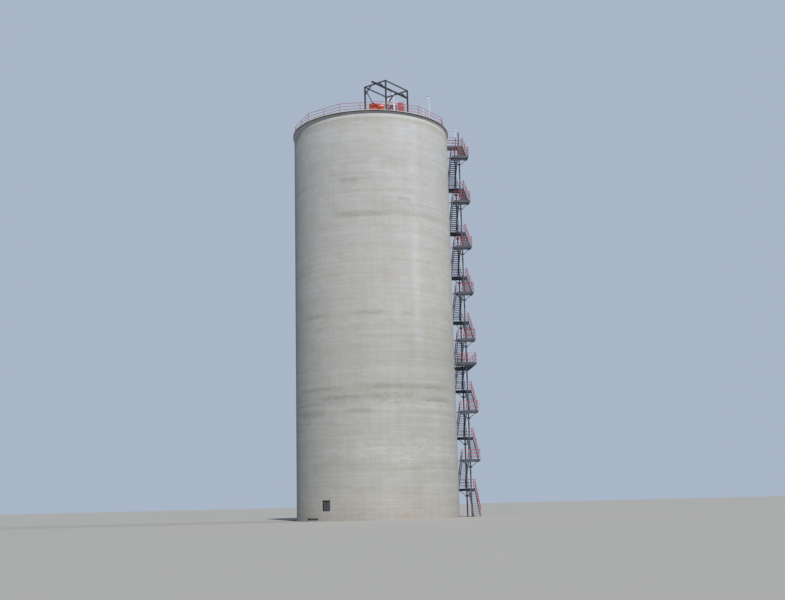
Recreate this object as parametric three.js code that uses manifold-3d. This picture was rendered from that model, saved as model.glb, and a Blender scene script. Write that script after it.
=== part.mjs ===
// Concrete storage silo with its roof guard, roof equipment and outside stair tower.
// It is a 1:2 scale model: every length below is the real silo's, in metres, and the last group scales it.
// The origin is the middle of the silo's foot, on the ground. +Z is up and the stair tower stands on +X.
import * as THREE from "three";
import { mergeVertices } from "three/addons/utils/BufferGeometryUtils.js";
import Module from "manifold-3d";

const wasm = await Module();
wasm.setup();

const MODEL_SCALE = 1 / 2;
const MM_PER_METRE = 1000;
// Clearance between pieces that rest on each other, 0.3 mm in the model.
const SEAT = 0.0006;
// How far the solids that are joined into one piece run into each other.
const MERGE = 0.05;

// Silo shell
const WALL_RADIUS = 9.15;
const WALL_THICKNESS = 0.3;
const WALL_TOP = 44.92;
const FACETS = 96;
const SEGMENTS = 8;
const FIRST_JOINT = Math.PI / 8;
const FACET_ANGLE = (2 * Math.PI) / FACETS;
const FLOOR_THICKNESS = 0.4;
const ROOF_THICKNESS = 0.18;
const ROOF_OVERHANG = 0.15;
const ROOF_TOP = WALL_TOP + ROOF_THICKNESS;
const ROOF_RADIUS = WALL_RADIUS + ROOF_OVERHANG;

// Vent opening and floor slot, both low on the same segment of wall
const VENT_SEGMENT = 4;
const VENT_ANGLE = THREE.MathUtils.degToRad(-130.9);
const VENT_WIDTH = 1.04;
const VENT_BOTTOM = 1.05;
const VENT_HEIGHT = 1.14;
const VENT_FRAME = 0.07;
const VENT_DEPTH = 0.12;
const VENT_RECESS = 0.06;
const VENT_BARS = 4;
const SLOT_ANGLE = THREE.MathUtils.degToRad(-144.7);
const SLOT_WIDTH = 2.05;
const SLOT_BOTTOM = 0.12;
const SLOT_HEIGHT = 0.22;

// Stair tower
const TOP_LANDING = 45.37;
const TOWER_X = 10.69;
const TOWER_Y = 1.88;
const TOWER_HALF_WIDTH = 0.96;
const FLIGHT_WIDTH = 0.8;
const FLIGHT_RUN = 3.41;
const LANDING_DEPTH = 1.05;
const PLATE = 0.05;
const FASCIA_DEPTH = 0.28;
const FASCIA_THICKNESS = 0.05;
const FLIGHTS = 16;
const UPPER_FLIGHTS = 14;
const UPPER_RISERS = 15;
const UPPER_DROP = 2.78;
// Landings, each named by how many flights lie above it. A level walkway joins two of them.
const NEAR_LEVELS = [1, 3, 5, 7, 9, 10, 12, 14];
const FAR_LEVELS = [0, 2, 4, 6, 8, 10, 11, 13, 15];
const WALKWAY_LEVEL = 10;
const LOWER_RISERS = 17;
const STRINGER_THICKNESS = 0.04;
const STRINGER_ABOVE = 0.05;
const STRINGER_BELOW = 0.28;
const TREAD_THICKNESS = 0.04;
const TREAD_NOSE = 0.02;
const COLUMN_SIDE = 0.14;
const COLUMN_TOP = 45.85;
const FOOT_PLATE = 0.3;
const KNEE_DROP = 0.8;
const BRACE_SIDE = 0.06;
const TIE_SIDE = 0.1;
const TIE_DROP = 0.17;
// Facets of the wall that the ties meet, counted from the first joint between segments.
const NEAR_TIE_FACET = -7;
const FAR_TIE_FACET = 0;

// Guards
const RAIL_TOP = 1.07;
const RAIL_MIDDLE = 0.71;
const RAIL_LOW = 0.36;
const RAIL_SIDE = 0.042;
const POST_SIDE = 0.05;
const POST_DROP = 0.2;
const GUARD_RAILS = [RAIL_TOP, RAIL_MIDDLE, RAIL_LOW];
const GUARD_OFFSET = SEAT + POST_SIDE / 2;
const INNER_INSET = 0.18;
const BRIDGE_POST_INSET = 0.2;
const ROOF_GUARD_RADIUS = 9.05;
const ROOF_GUARD_NODES = 6;
const PANELS_A_NODE = 2;
const PANEL_ANGLE = THREE.MathUtils.degToRad(30);
const FIRST_PANEL_CORNER = THREE.MathUtils.degToRad(64);
const GATE_START = THREE.MathUtils.degToRad(22.4);
const GATE_END = THREE.MathUtils.degToRad(31.6);

// Roof equipment: the head frame and its hoist beam
const HEAD_X = 1.58;
const HEAD_Y = -5.29;
const HEAD_TURN = THREE.MathUtils.degToRad(47.4);
const HEAD_LENGTH = 4.1;
const HEAD_WIDTH = 3.05;
const HEAD_HEIGHT = 4.12;
const HEAD_POST_SIDE = 0.15;
const HEAD_RAIL_SIDE = 0.12;
const HOIST_WIDTH = 0.13;
const HOIST_DEPTH = 0.2;
const HOIST_RISE = 0.13;
const HOIST_NEAR = 0.6;
const HOIST_FAR = 1.85;
const HEAD_KNEE_REACH = 0.95;
const HEAD_KNEE_SIDE = 0.11;
const HEAD_ROD_SIDE = 0.09;
const HEAD_ROD_DROP = 0.3;
const HEAD_ROD_FOOT = 0.12;

// The drive unit: a motor, a gear case and a coupling on a raised bed
const DRIVE_PLACE = [0.4, -5.35];
const DRIVE_LENGTH = 1.66;
const DRIVE_WIDTH = 0.8;
const DRIVE_BED_HEIGHT = 1.57;
const DRIVE_BED_THICKNESS = 0.15;
const DRIVE_LEG = 0.2;
const MOTOR_LENGTH = 0.8;
const MOTOR_RADIUS = 0.36;
const GEAR_CASE_LENGTH = 0.5;
const GEAR_CASE_HEIGHT = 0.6;
const COUPLING_RADIUS = 0.2;

// The vent fan: a round casing with its outlet up and its motor behind, on a stand
const FAN_PLACE = [3.3, -5.2];
const FAN_STAND_WIDTH = 0.7;
const FAN_STAND_DEPTH = 0.6;
const FAN_STAND_HEIGHT = 1.45;
const FAN_AXLE = 1.78;
const FAN_RADIUS = 0.38;
const FAN_CASING_DEPTH = 0.4;
const FAN_OUTLET_WIDTH = 0.6;
const FAN_OUTLET_TOP = 2.37;
const FAN_MOTOR_RADIUS = 0.2;
const FAN_MOTOR_LENGTH = 0.45;

// The fill hood: a box, a tapering neck under a square block, and thin pipes
const HOOD_PLACE = [2.06, -4.75];
const HOOD_WIDTH = 1.56;
const HOOD_DEPTH = 1.1;
const HOOD_HEIGHT = 2.12;
const HOOD_NECK_X = 1.78;
const HOOD_NECK_HEIGHT = 0.23;
const HOOD_NECK_FOOT = 0.48;
const HOOD_NECK_TOP = 0.25;
const HOOD_BLOCK_SIDE = 0.45;
const HOOD_BLOCK_TOP = 2.65;
const STACK_RADIUS = 0.065;
const STACK_TOP = 3.12;
const HOOD_PIPE_RADIUS = 0.055;
const HOOD_PIPE_FOOT = 0.4;
const HOOD_PIPE_STAND_OFF = 0.02;
const RISER_X = 1.4;
const RISER_TOP = 2.75;
const GOOSENECK_X = 2.5;
const GOOSENECK_TOP = 2.73;
const GOOSENECK_REACH = 0.3;
const GOOSENECK_FALL = 0.38;

// Lamp poles and a stub of conduit
const RIM_LAMP = [6.41, -6.45];
const LANDING_LAMP = [10.84, 3.75];
const HEAD_LAMP = [2.38, -5.8];
const RIM_LAMP_HEIGHT = 2.72;
const LANDING_LAMP_HEIGHT = 2.4;
const HEAD_LAMP_HEIGHT = 3.45;
const LAMP_BASE_SIDE = 0.24;
const LAMP_BASE_THICKNESS = 0.02;
const LAMP_POLE_RADIUS = 0.03;
const HEAD_LAMP_POLE_RADIUS = 0.05;
const LAMP_ARM = [-0.14, -0.09];
const LAMP_ARM_SIDE = 0.05;
const LAMP_ARM_RISE = 0.12;
const LAMP_BALL_RADIUS = 0.11;
const LAMP_BALL_DROP = 0.27;
const LAMP_STEM_RADIUS = 0.045;
const LAMP_CAP_RADIUS = 0.17;
const LAMP_CAP_THICKNESS = 0.07;
const CONDUIT_PLACE = [5.74, -6.45];
const CONDUIT_HEIGHT = 1.15;
const CONDUIT_RADIUS = 0.06;

const towerNear = TOWER_Y - FLIGHT_RUN / 2;
const towerFar = TOWER_Y + FLIGHT_RUN / 2;
const guardLeft = TOWER_X - TOWER_HALF_WIDTH - GUARD_OFFSET;
const guardRight = TOWER_X + TOWER_HALF_WIDTH + GUARD_OFFSET;
const lowerDrop = (TOP_LANDING - UPPER_FLIGHTS * UPPER_DROP) / (FLIGHTS - UPPER_FLIGHTS);

// Paints and bare finishes
const material = (color, roughness, metalness) => () =>
  new THREE.MeshStandardMaterial({ color, roughness, metalness });
const concrete = material(0xbfbdb4, 0.92, 0);
const paleConcrete = material(0xcac8c0, 0.9, 0);
const greySteel = material(0x4b5157, 0.6, 0.4);
const blackSteel = material(0x1d2126, 0.55, 0.4);
const redPaint = material(0xb23a40, 0.5, 0.2);
const orangePaint = material(0xd4482c, 0.5, 0.2);
const galvanised = material(0x9fa5a8, 0.45, 0.7);
const whitePaint = material(0xe4e6e6, 0.5, 0.1);

const model = new THREE.Group();

function addPart(name, geometry, finish) {
  const mesh = new THREE.Mesh(geometry, finish());
  mesh.name = name;
  model.add(mesh);
}

// A closed geometry as a solid for cutting and joining.
function solidOf(geometry) {
  const bare = geometry.index ? geometry.toNonIndexed() : geometry.clone();
  bare.deleteAttribute("normal");
  bare.deleteAttribute("uv");
  const merged = mergeVertices(bare, 1e-6);
  return new wasm.Manifold(
    new wasm.Mesh({
      numProp: 3,
      vertProperties: merged.attributes.position.array,
      triVerts: new Uint32Array(merged.index.array),
    }),
  );
}

function geometryOf(solid) {
  const mesh = solid.getMesh();
  const geometry = new THREE.BufferGeometry();
  geometry.setAttribute("position", new THREE.BufferAttribute(mesh.vertProperties, 3));
  geometry.setIndex(new THREE.BufferAttribute(mesh.triVerts, 1));
  geometry.computeVertexNormals();
  return geometry;
}

function joined(geometries) {
  return geometryOf(geometries.map(solidOf).reduce((whole, piece) => whole.add(piece)));
}

function cut(geometry, cutters) {
  return geometryOf(cutters.map(solidOf).reduce((left, cutter) => left.subtract(cutter), solidOf(geometry)));
}

// A box between two opposite corners.
function box(low, high) {
  const size = high.map((value, axis) => value - low[axis]);
  const middle = high.map((value, axis) => (value + low[axis]) / 2);
  return new THREE.BoxGeometry(...size).translate(...middle);
}

// A square or flat bar from one point to another, its height measured square to its length.
function bar(from, to, width, height = width) {
  const start = new THREE.Vector3(...from);
  const along = new THREE.Vector3(...to).sub(start);
  const forward = along.clone().normalize();
  const side = new THREE.Vector3(0, 0, 1).cross(forward).normalize();
  const up = forward.clone().cross(side);
  const frame = new THREE.Matrix4().makeBasis(forward, side, up);
  return new THREE.BoxGeometry(along.length(), width, height)
    .translate(along.length() / 2, 0, 0)
    .applyMatrix4(frame)
    .translate(...from);
}

// A round bar or drum from one point to another.
function drum(from, to, radius, sides = 12) {
  const start = new THREE.Vector3(...from);
  const along = new THREE.Vector3(...to).sub(start);
  const turn = new THREE.Quaternion().setFromUnitVectors(
    new THREE.Vector3(0, 1, 0),
    along.clone().normalize(),
  );
  return new THREE.CylinderGeometry(radius, radius, along.length(), sides)
    .translate(0, along.length() / 2, 0)
    .applyQuaternion(turn)
    .translate(...from);
}

// A corner of the faceted ring; whole turns come back to the same numbers.
function ringPoint(radius, corner) {
  const angle = FIRST_JOINT + ((corner + FACETS) % FACETS) * FACET_ANGLE;
  return new THREE.Vector2(radius * Math.cos(angle), radius * Math.sin(angle));
}

function ringPoints(radius, first, last) {
  const points = [];
  for (let corner = first; corner <= last; corner++) points.push(ringPoint(radius, corner));
  return points;
}

function upright(outline, bottom, top) {
  const shape = new THREE.Shape(outline);
  return new THREE.ExtrudeGeometry(shape, { depth: top - bottom, bevelEnabled: false, steps: 1 })
    .translate(0, 0, bottom);
}

// A box that faces out along a radius, between two distances from the silo's middle.
function radialBox(angle, inner, outer, width, bottom, top) {
  return box([inner, -width / 2, bottom], [outer, width / 2, top]).rotateZ(angle);
}

function addWalls() {
  const corners = FACETS / SEGMENTS;
  for (let segment = 0; segment < SEGMENTS; segment++) {
    const first = segment * corners;
    const outer = ringPoints(WALL_RADIUS, first, first + corners);
    const inner = ringPoints(WALL_RADIUS - WALL_THICKNESS, first, first + corners);
    let wall = upright([...outer, ...inner.reverse()], 0, WALL_TOP);
    if (segment === VENT_SEGMENT) wall = cut(wall, [ventHole(), floorSlot()]);
    addPart(`wall_segment_${segment + 1}`, wall, concrete);
  }
}

function ventHole() {
  const inner = WALL_RADIUS - 2 * WALL_THICKNESS;
  const outer = WALL_RADIUS + WALL_THICKNESS;
  return radialBox(VENT_ANGLE, inner, outer, VENT_WIDTH, VENT_BOTTOM, VENT_BOTTOM + VENT_HEIGHT);
}

function floorSlot() {
  const inner = WALL_RADIUS - 2 * WALL_THICKNESS;
  const outer = WALL_RADIUS + WALL_THICKNESS;
  return radialBox(SLOT_ANGLE, inner, outer, SLOT_WIDTH, SLOT_BOTTOM, SLOT_BOTTOM + SLOT_HEIGHT);
}

// The vent's frame with upright bars in front of a closed back.
function addVent() {
  const width = VENT_WIDTH - 2 * SEAT;
  const bottom = VENT_BOTTOM + SEAT;
  const top = VENT_BOTTOM + VENT_HEIGHT - SEAT;
  const front = WALL_RADIUS - VENT_RECESS;
  const back = front - VENT_DEPTH;
  const block = radialBox(VENT_ANGLE, back, front, width, bottom, top);
  const gap = (width - 2 * VENT_FRAME) / (2 * VENT_BARS + 1);
  const pockets = [];
  for (let pocket = 0; pocket <= VENT_BARS; pocket++) {
    const middle = -width / 2 + VENT_FRAME + gap * (2 * pocket + 0.5);
    pockets.push(
      box(
        [front - VENT_DEPTH * 0.7, middle - gap / 2, bottom + VENT_FRAME],
        [front + VENT_DEPTH, middle + gap / 2, top - VENT_FRAME],
      ).rotateZ(VENT_ANGLE),
    );
  }
  addPart("vent_grille", cut(block, pockets), blackSteel);
}

function addSlabs() {
  const inner = ringPoints(WALL_RADIUS - WALL_THICKNESS, 0, FACETS - 1);
  addPart("floor_slab", upright(inner, 0, FLOOR_THICKNESS), paleConcrete);
  const rim = ringPoints(ROOF_RADIUS, 0, FACETS - 1);
  addPart("roof_slab", upright(rim, WALL_TOP, ROOF_TOP), paleConcrete);
}

// Roof guard: straight panels round the rim, open where the stair's bridge comes in
function roofGuardPath() {
  const angles = [GATE_END];
  const between = ROOF_GUARD_NODES * PANELS_A_NODE - 1;
  for (let corner = 0; corner < between; corner++) angles.push(FIRST_PANEL_CORNER + corner * PANEL_ANGLE);
  angles.push(GATE_START + 2 * Math.PI);
  return angles.map((angle) => [
    ROOF_GUARD_RADIUS * Math.cos(angle),
    ROOF_GUARD_RADIUS * Math.sin(angle),
  ]);
}

function guardPost(x, y, bottom, top) {
  const half = POST_SIDE / 2;
  return box([x - half, y - half, bottom], [x + half, y + half, top]);
}

function addRoofGuard() {
  const path = roofGuardPath();
  for (let node = 0; node < ROOF_GUARD_NODES; node++) {
    const pieces = [];
    for (let panel = 0; panel < PANELS_A_NODE; panel++) {
      const from = path[node * PANELS_A_NODE + panel];
      const to = path[node * PANELS_A_NODE + panel + 1];
      const last = panel === PANELS_A_NODE - 1;
      pieces.push(...roofPanel(from, to, last && node < ROOF_GUARD_NODES - 1));
      if (last && node === ROOF_GUARD_NODES - 1) pieces.push(roofPost(...to));
    }
    addPart(`roof_guard_${node + 1}`, joined(pieces), redPaint);
  }
}

function roofPost(x, y) {
  return guardPost(x, y, ROOF_TOP, ROOF_TOP + RAIL_TOP + RAIL_SIDE);
}

// One straight panel: a post at its start, one half way, and rails that stop short of the next node's post.
function roofPanel(from, to, stopsShort) {
  const length = Math.hypot(to[0] - from[0], to[1] - from[1]);
  const share = stopsShort ? 1 - POST_SIDE / length : 1;
  const place = (part) => [from[0] + (to[0] - from[0]) * part, from[1] + (to[1] - from[1]) * part];
  const end = place(share);
  const rails = railStretch([...from, ROOF_TOP], [...end, ROOF_TOP]);
  return [roofPost(...from), roofPost(...place(0.5)), ...rails];
}

// Levels of the stair tower, counted in flights down from the roof bridge
function levelAfter(flights) {
  const upper = Math.min(flights, UPPER_FLIGHTS);
  const lower = flights - upper;
  return TOP_LANDING - upper * UPPER_DROP - lower * lowerDrop;
}

function risersBelow(flights) {
  return flights < UPPER_FLIGHTS ? UPPER_RISERS : LOWER_RISERS;
}

// One flight from a landing edge down to the next, heading +Y or -Y, between two X positions.
function flightGeometry(levelIndex, heading, left) {
  const top = levelAfter(levelIndex);
  const risers = risersBelow(levelIndex);
  const rise = (top - levelAfter(levelIndex + 1)) / risers;
  const going = (FLIGHT_RUN - 2 * SEAT) / (risers - 1);
  const right = left + FLIGHT_WIDTH;
  const startY = heading > 0 ? towerNear + SEAT : towerFar - SEAT;
  const pieces = [];
  for (let tread = 1; tread < risers; tread++) {
    const z = top - tread * rise;
    const back = startY + heading * going * (tread - 1);
    const nose = startY + heading * Math.min(going * tread + TREAD_NOSE, FLIGHT_RUN - 2 * SEAT);
    pieces.push(
      box(
        [left + STRINGER_THICKNESS / 2, Math.min(back, nose), z - TREAD_THICKNESS],
        [right - STRINGER_THICKNESS / 2, Math.max(back, nose), z],
      ),
    );
  }
  pieces.push(stringer(left, startY, heading, top, rise, going, risers));
  pieces.push(stringer(right - STRINGER_THICKNESS, startY, heading, top, rise, going, risers));
  return joined(pieces);
}

// A stringer plate, drawn in side view as height over run and then stood up.
function stringer(x, startY, heading, top, rise, going, risers) {
  const run = going * (risers - 1);
  const fall = rise * (risers - 1);
  const low = Math.max(top - fall - STRINGER_BELOW, 0);
  const foot = (top - STRINGER_BELOW - low) / (rise / going);
  const outline = [
    new THREE.Vector2(0, top + STRINGER_ABOVE),
    new THREE.Vector2(run, top - fall + STRINGER_ABOVE),
    new THREE.Vector2(run, low),
    ...(foot < run - SEAT ? [new THREE.Vector2(foot, low)] : []),
    new THREE.Vector2(0, top - STRINGER_BELOW),
  ];
  const plate = new THREE.ExtrudeGeometry(new THREE.Shape(outline), {
    depth: STRINGER_THICKNESS,
    bevelEnabled: false,
    steps: 1,
  });
  // Side view (run, height, thickness) becomes (thickness, run, height) in the tower.
  plate.rotateX(Math.PI / 2).rotateZ(Math.PI / 2);
  if (heading < 0) plate.rotateZ(Math.PI).translate(STRINGER_THICKNESS, 0, 0);
  return plate.translate(x, startY, 0);
}

function addFlights() {
  const leftSide = TOWER_X - TOWER_HALF_WIDTH;
  const rightSide = TOWER_X + TOWER_HALF_WIDTH - FLIGHT_WIDTH;
  for (const level of NEAR_LEVELS) {
    addPart(`flight_${level + 1}`, flightGeometry(level, 1, leftSide), greySteel);
  }
  for (const level of FAR_LEVELS.filter((index) => index !== WALKWAY_LEVEL)) {
    addPart(`flight_${level + 1}`, flightGeometry(level, -1, rightSide), greySteel);
  }
}

// A deck plate on an edge frame, open below between the edge channels.
function deck(low, high, level, under = level - FASCIA_DEPTH) {
  const top = level;
  const block = box([...low, under], [...high, top]);
  const pocket = box(
    [low[0] + FASCIA_THICKNESS, low[1] + FASCIA_THICKNESS, under - 1],
    [high[0] - FASCIA_THICKNESS, high[1] - FASCIA_THICKNESS, top - PLATE],
  );
  return cut(block, [pocket]);
}

function column(y, top) {
  const half = COLUMN_SIDE / 2;
  const foot = FOOT_PLATE / 2;
  return [
    box([TOWER_X - half, y - half, 0], [TOWER_X + half, y + half, top]),
    box([TOWER_X - foot, y - foot, 0], [TOWER_X + foot, y + foot, PLATE]),
  ];
}

// Two knee braces from the column out to the sides of a landing, under the landing's own edge channel.
function kneeBraces(edgeY, outward, level) {
  const y = edgeY + outward * (BRACE_SIDE / 2 + SEAT);
  const under = level - FASCIA_DEPTH / 2;
  return [-1, 1].map((side) =>
    bar(
      [TOWER_X, y, under - KNEE_DROP],
      [TOWER_X + side * (TOWER_HALF_WIDTH - FASCIA_THICKNESS), y, under],
      BRACE_SIDE,
    ),
  );
}

// A strut from the landing's silo side to the wall, square to one facet of the wall.
function wallTie(facet, level) {
  const angle = FIRST_JOINT + (facet + 0.5) * FACET_ANGLE;
  const wallFace = WALL_RADIUS * Math.cos(FACET_ANGLE / 2) + SEAT;
  const landingSide = TOWER_X - TOWER_HALF_WIDTH + FASCIA_THICKNESS / 2;
  const reach = landingSide / Math.cos(angle);
  const z = level - TIE_DROP;
  return radialBox(angle, wallFace, reach, TIE_SIDE, z - TIE_SIDE / 2, z + TIE_SIDE / 2);
}

function addNearFrame() {
  const left = TOWER_X - TOWER_HALF_WIDTH;
  const right = TOWER_X + TOWER_HALF_WIDTH;
  const pieces = column(towerNear, COLUMN_TOP);
  for (const index of NEAR_LEVELS) {
    const level = levelAfter(index);
    pieces.push(deck([left, towerNear - LANDING_DEPTH], [right, towerNear], level));
    pieces.push(...kneeBraces(towerNear, -1, level));
    pieces.push(wallTie(NEAR_TIE_FACET, level));
  }
  const walkwayLeft = right - FLIGHT_WIDTH;
  pieces.push(
    deck([walkwayLeft, towerNear - FASCIA_THICKNESS], [right, towerFar - SEAT], levelAfter(WALKWAY_LEVEL)),
  );
  addPart("near_landings_and_column", joined(pieces), greySteel);
}

function addFarFrame() {
  const left = TOWER_X - TOWER_HALF_WIDTH;
  const right = TOWER_X + TOWER_HALF_WIDTH;
  const pieces = column(towerFar, TOP_LANDING);
  for (const index of FAR_LEVELS) {
    const level = levelAfter(index);
    pieces.push(deck([left, towerFar], [right, towerFar + LANDING_DEPTH], level));
    if (index > 0) {
      pieces.push(...kneeBraces(towerFar, 1, level));
      pieces.push(wallTie(FAR_TIE_FACET, level));
    }
  }
  pieces.push(bridge(left));
  addPart("far_landings_and_column", joined(pieces), greySteel);
}

// The bridge from the top landing, whose frame rests on the roof slab.
function bridge(left) {
  const farY = towerFar + LANDING_DEPTH;
  const roofEdge = Math.sqrt(ROOF_RADIUS ** 2 - farY ** 2) - 2 * ROOF_OVERHANG;
  return deck([roofEdge, towerFar], [left + FASCIA_THICKNESS, farY], TOP_LANDING, ROOF_TOP);
}

// The two ends of a stretch lie on the floor or on a nosing line, and each rail runs above it.
function railStretch(from, to, heights = GUARD_RAILS) {
  return heights.map((height) =>
    bar([from[0], from[1], from[2] + height], [to[0], to[1], to[2] + height], RAIL_SIDE),
  );
}

// A post fixed to the side of a stringer or landing edge, from a little below the floor line to the top rail.
function stairPost(point, drop = POST_DROP) {
  return guardPost(point[0], point[1], Math.max(point[2] - drop, 0), point[2] + RAIL_TOP + RAIL_SIDE / 2);
}

// The last post of a bridge guard stands on the roof slab.
function bridgeEndPost([x, y, level]) {
  return guardPost(x, y, ROOF_TOP, level + RAIL_TOP + RAIL_SIDE / 2);
}

// Both ends of a flight's nosing line at X position x.
function slopeEnds(x, levelIndex, heading) {
  const top = levelAfter(levelIndex);
  const bottom = levelAfter(levelIndex + 1);
  const rise = (top - bottom) / risersBelow(levelIndex);
  const [start, end] = heading > 0 ? [towerNear, towerFar] : [towerFar, towerNear];
  return [
    [x, start, top],
    [x, end, bottom + rise],
  ];
}

// Guard along the outer end and the named sides (-1 left, 1 right) of a landing.
function landingGuard(edgeY, outward, level, sides) {
  const endY = edgeY + outward * (LANDING_DEPTH + GUARD_OFFSET);
  const corners = [guardLeft, guardRight].map((x) => [x, endY, level]);
  const pieces = [...railStretch(...corners), ...corners.map((point) => stairPost(point))];
  for (const x of sides.map((side) => (side < 0 ? guardLeft : guardRight))) {
    pieces.push(...railStretch([x, edgeY, level], [x, endY, level]));
  }
  return pieces;
}

// The guard of one turn of the stair: near landing, flight down, far landing, flight or walkway back.
function addStairGuards() {
  FAR_LEVELS.forEach((farIndex, run) => {
    const pieces = landingGuard(towerFar, 1, levelAfter(farIndex), run > 0 ? [-1, 1] : [1]);
    pieces.push(...(run > 0 ? leftGuard(NEAR_LEVELS[run - 1]) : farBridgeGuard()));
    pieces.push(...rightGuard(farIndex));
    addPart(`stair_guard_${run + 1}`, joined(pieces), redPaint);
  });
}

// Near landing and the flight that leaves it, on the silo side.
function leftGuard(nearIndex) {
  const level = levelAfter(nearIndex);
  const edge = towerNear - POST_SIDE / 2;
  const endY = towerNear - LANDING_DEPTH - GUARD_OFFSET;
  const corners = [guardRight, guardLeft].map((x) => [x, endY, level]);
  const [from, to] = slopeEnds(guardLeft, nearIndex, 1);
  return [
    ...railStretch([guardRight, edge, level], corners[0]),
    ...railStretch(...corners),
    ...railStretch(corners[1], from),
    ...railStretch(from, to),
    ...[[guardRight, edge, level], ...corners, from].map((point) => stairPost(point)),
    stairPost(to, 2 * POST_DROP),
  ];
}

// The side away from the silo, from a far landing down a flight or along the level walkway.
function rightGuard(farIndex) {
  const level = levelAfter(farIndex);
  const [from, foot] = slopeEnds(guardRight, farIndex, -1);
  const end = farIndex === WALKWAY_LEVEL ? [guardRight, towerNear, level] : foot;
  const share = POST_SIDE / FLIGHT_RUN;
  const to = end.map((value, axis) => value + (from[axis] - value) * share);
  return [...railStretch(from, to), stairPost(from), stairPost(to)];
}

// Rail along the far side of the bridge, out to a post on the roof slab.
function farBridgeGuard() {
  const y = towerFar + LANDING_DEPTH + GUARD_OFFSET;
  const corner = [guardLeft, y, TOP_LANDING];
  const end = [Math.sqrt(ROOF_RADIUS ** 2 - y ** 2) - BRIDGE_POST_INSET, y, TOP_LANDING];
  return [...railStretch(corner, end), bridgeEndPost(end)];
}

// The inner handrail that winds round the two columns, in an upper and a lower node
function addInnerRails() {
  const offset = TOWER_HALF_WIDTH - FLIGHT_WIDTH - GUARD_OFFSET;
  const left = TOWER_X - offset;
  const right = TOWER_X + offset;
  const upper = nearBridgeGuard(right);
  const lower = [];
  FAR_LEVELS.forEach((farIndex, run) => {
    const pieces = farIndex <= WALKWAY_LEVEL ? upper : lower;
    if (run > 0) {
      pieces.push(...innerRun(left, NEAR_LEVELS[run - 1], 1));
      pieces.push(...innerTurn(left, right, NEAR_LEVELS[run - 1], farIndex, 1));
    }
    if (farIndex === WALKWAY_LEVEL) {
      pieces.push(...walkwayRail(right));
      return;
    }
    pieces.push(...innerRun(right, farIndex, -1));
    const next = NEAR_LEVELS[run];
    if (next !== undefined) pieces.push(...innerTurn(right, left, farIndex, next, -1));
  });
  addPart("inner_handrail_upper", joined(upper), redPaint);
  addPart("inner_handrail_lower", joined(lower), redPaint);
}

// Ends of an inner rail, a little inside the flight's own ends so that it clears the column.
function innerEnds(x, levelIndex, heading) {
  const [from, to] = slopeEnds(x, levelIndex, heading);
  const share = INNER_INSET / FLIGHT_RUN;
  const at = (part) => from.map((value, axis) => value + (to[axis] - value) * part);
  return [at(share), at(1 - share)];
}

function innerRun(x, levelIndex, heading) {
  const [from, to] = innerEnds(x, levelIndex, heading);
  return [...railStretch(from, to, [RAIL_TOP]), stairPost(from), stairPost(to)];
}

// The link from the foot of one inner rail across to a post at the head of the next.
function innerTurn(fromX, toX, upperIndex, lowerIndex, heading) {
  const [, foot] = innerEnds(fromX, upperIndex, heading);
  const railZ = foot[2] + RAIL_TOP;
  return [
    bar([fromX, foot[1], railZ], [toX, foot[1], railZ], RAIL_SIDE),
    guardPost(toX, foot[1], levelAfter(lowerIndex), railZ + RAIL_SIDE / 2),
  ];
}

function walkwayRail(x) {
  const level = levelAfter(WALKWAY_LEVEL);
  const from = [x, towerFar - INNER_INSET, level];
  const to = [x, towerNear + INNER_INSET, level];
  return [...railStretch(from, to, [RAIL_TOP]), stairPost(to)];
}

// Rail along the open edge of the top landing and the near side of the bridge, joined to the inner rail.
function nearBridgeGuard(innerX) {
  const y = towerFar - GUARD_OFFSET;
  const [head] = innerEnds(innerX, 0, -1);
  const corner = [innerX, y, TOP_LANDING];
  const landingEnd = [guardLeft, y, TOP_LANDING];
  const roofEnd = [Math.sqrt(ROOF_RADIUS ** 2 - y ** 2) - BRIDGE_POST_INSET, y, TOP_LANDING];
  return [
    ...railStretch(head, corner, [RAIL_TOP]),
    ...railStretch(corner, roofEnd),
    stairPost(corner),
    stairPost(landingEnd),
    bridgeEndPost(roofEnd),
  ];
}

// Roof equipment
function headPoint(along, across, height) {
  const x = HEAD_X + along * Math.cos(HEAD_TURN) - across * Math.sin(HEAD_TURN);
  const y = HEAD_Y + along * Math.sin(HEAD_TURN) + across * Math.cos(HEAD_TURN);
  return [x, y, ROOF_TOP + height];
}

function headBox(low, high) {
  return box(low, high)
    .rotateZ(HEAD_TURN)
    .translate(HEAD_X, HEAD_Y, ROOF_TOP);
}

function addHeadFrame() {
  const a = HEAD_LENGTH / 2;
  const b = HEAD_WIDTH / 2;
  const post = HEAD_POST_SIDE / 2;
  const rail = HEAD_RAIL_SIDE / 2;
  const top = HEAD_HEIGHT;
  const under = top - HEAD_RAIL_SIDE;
  const pieces = [];
  for (const [x, y] of [[-a, -b], [a, -b], [a, b], [-a, b]]) {
    pieces.push(headBox([x - post, y - post, 0], [x + post, y + post, top]));
  }
  for (const side of [-1, 1]) {
    const y = side * b;
    const x = side * a;
    pieces.push(headBox([-a, y - rail, under], [a, y + rail, top]));
    pieces.push(headBox([x - rail, -b, under], [x + rail, b, top]));
    pieces.push(...headKnees(side));
  }
  pieces.push(hoistBeam(a), headRod(a, b));
  addPart("head_frame", joined(pieces), blackSteel);
}

// The hoist beam is let into the middle of the two end rails and runs past both of them.
function hoistBeam(a) {
  const half = HOIST_WIDTH / 2;
  const top = HEAD_HEIGHT + HOIST_RISE;
  return headBox([-a - HOIST_NEAR, -half, top - HOIST_DEPTH], [a + HOIST_FAR, half, top]);
}

// A thin brace from the head of one post to the foot of the next.
function headRod(a, b) {
  return bar(headPoint(-a, b, HEAD_HEIGHT - HEAD_ROD_DROP), headPoint(a, b, HEAD_ROD_FOOT), HEAD_ROD_SIDE);
}

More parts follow.
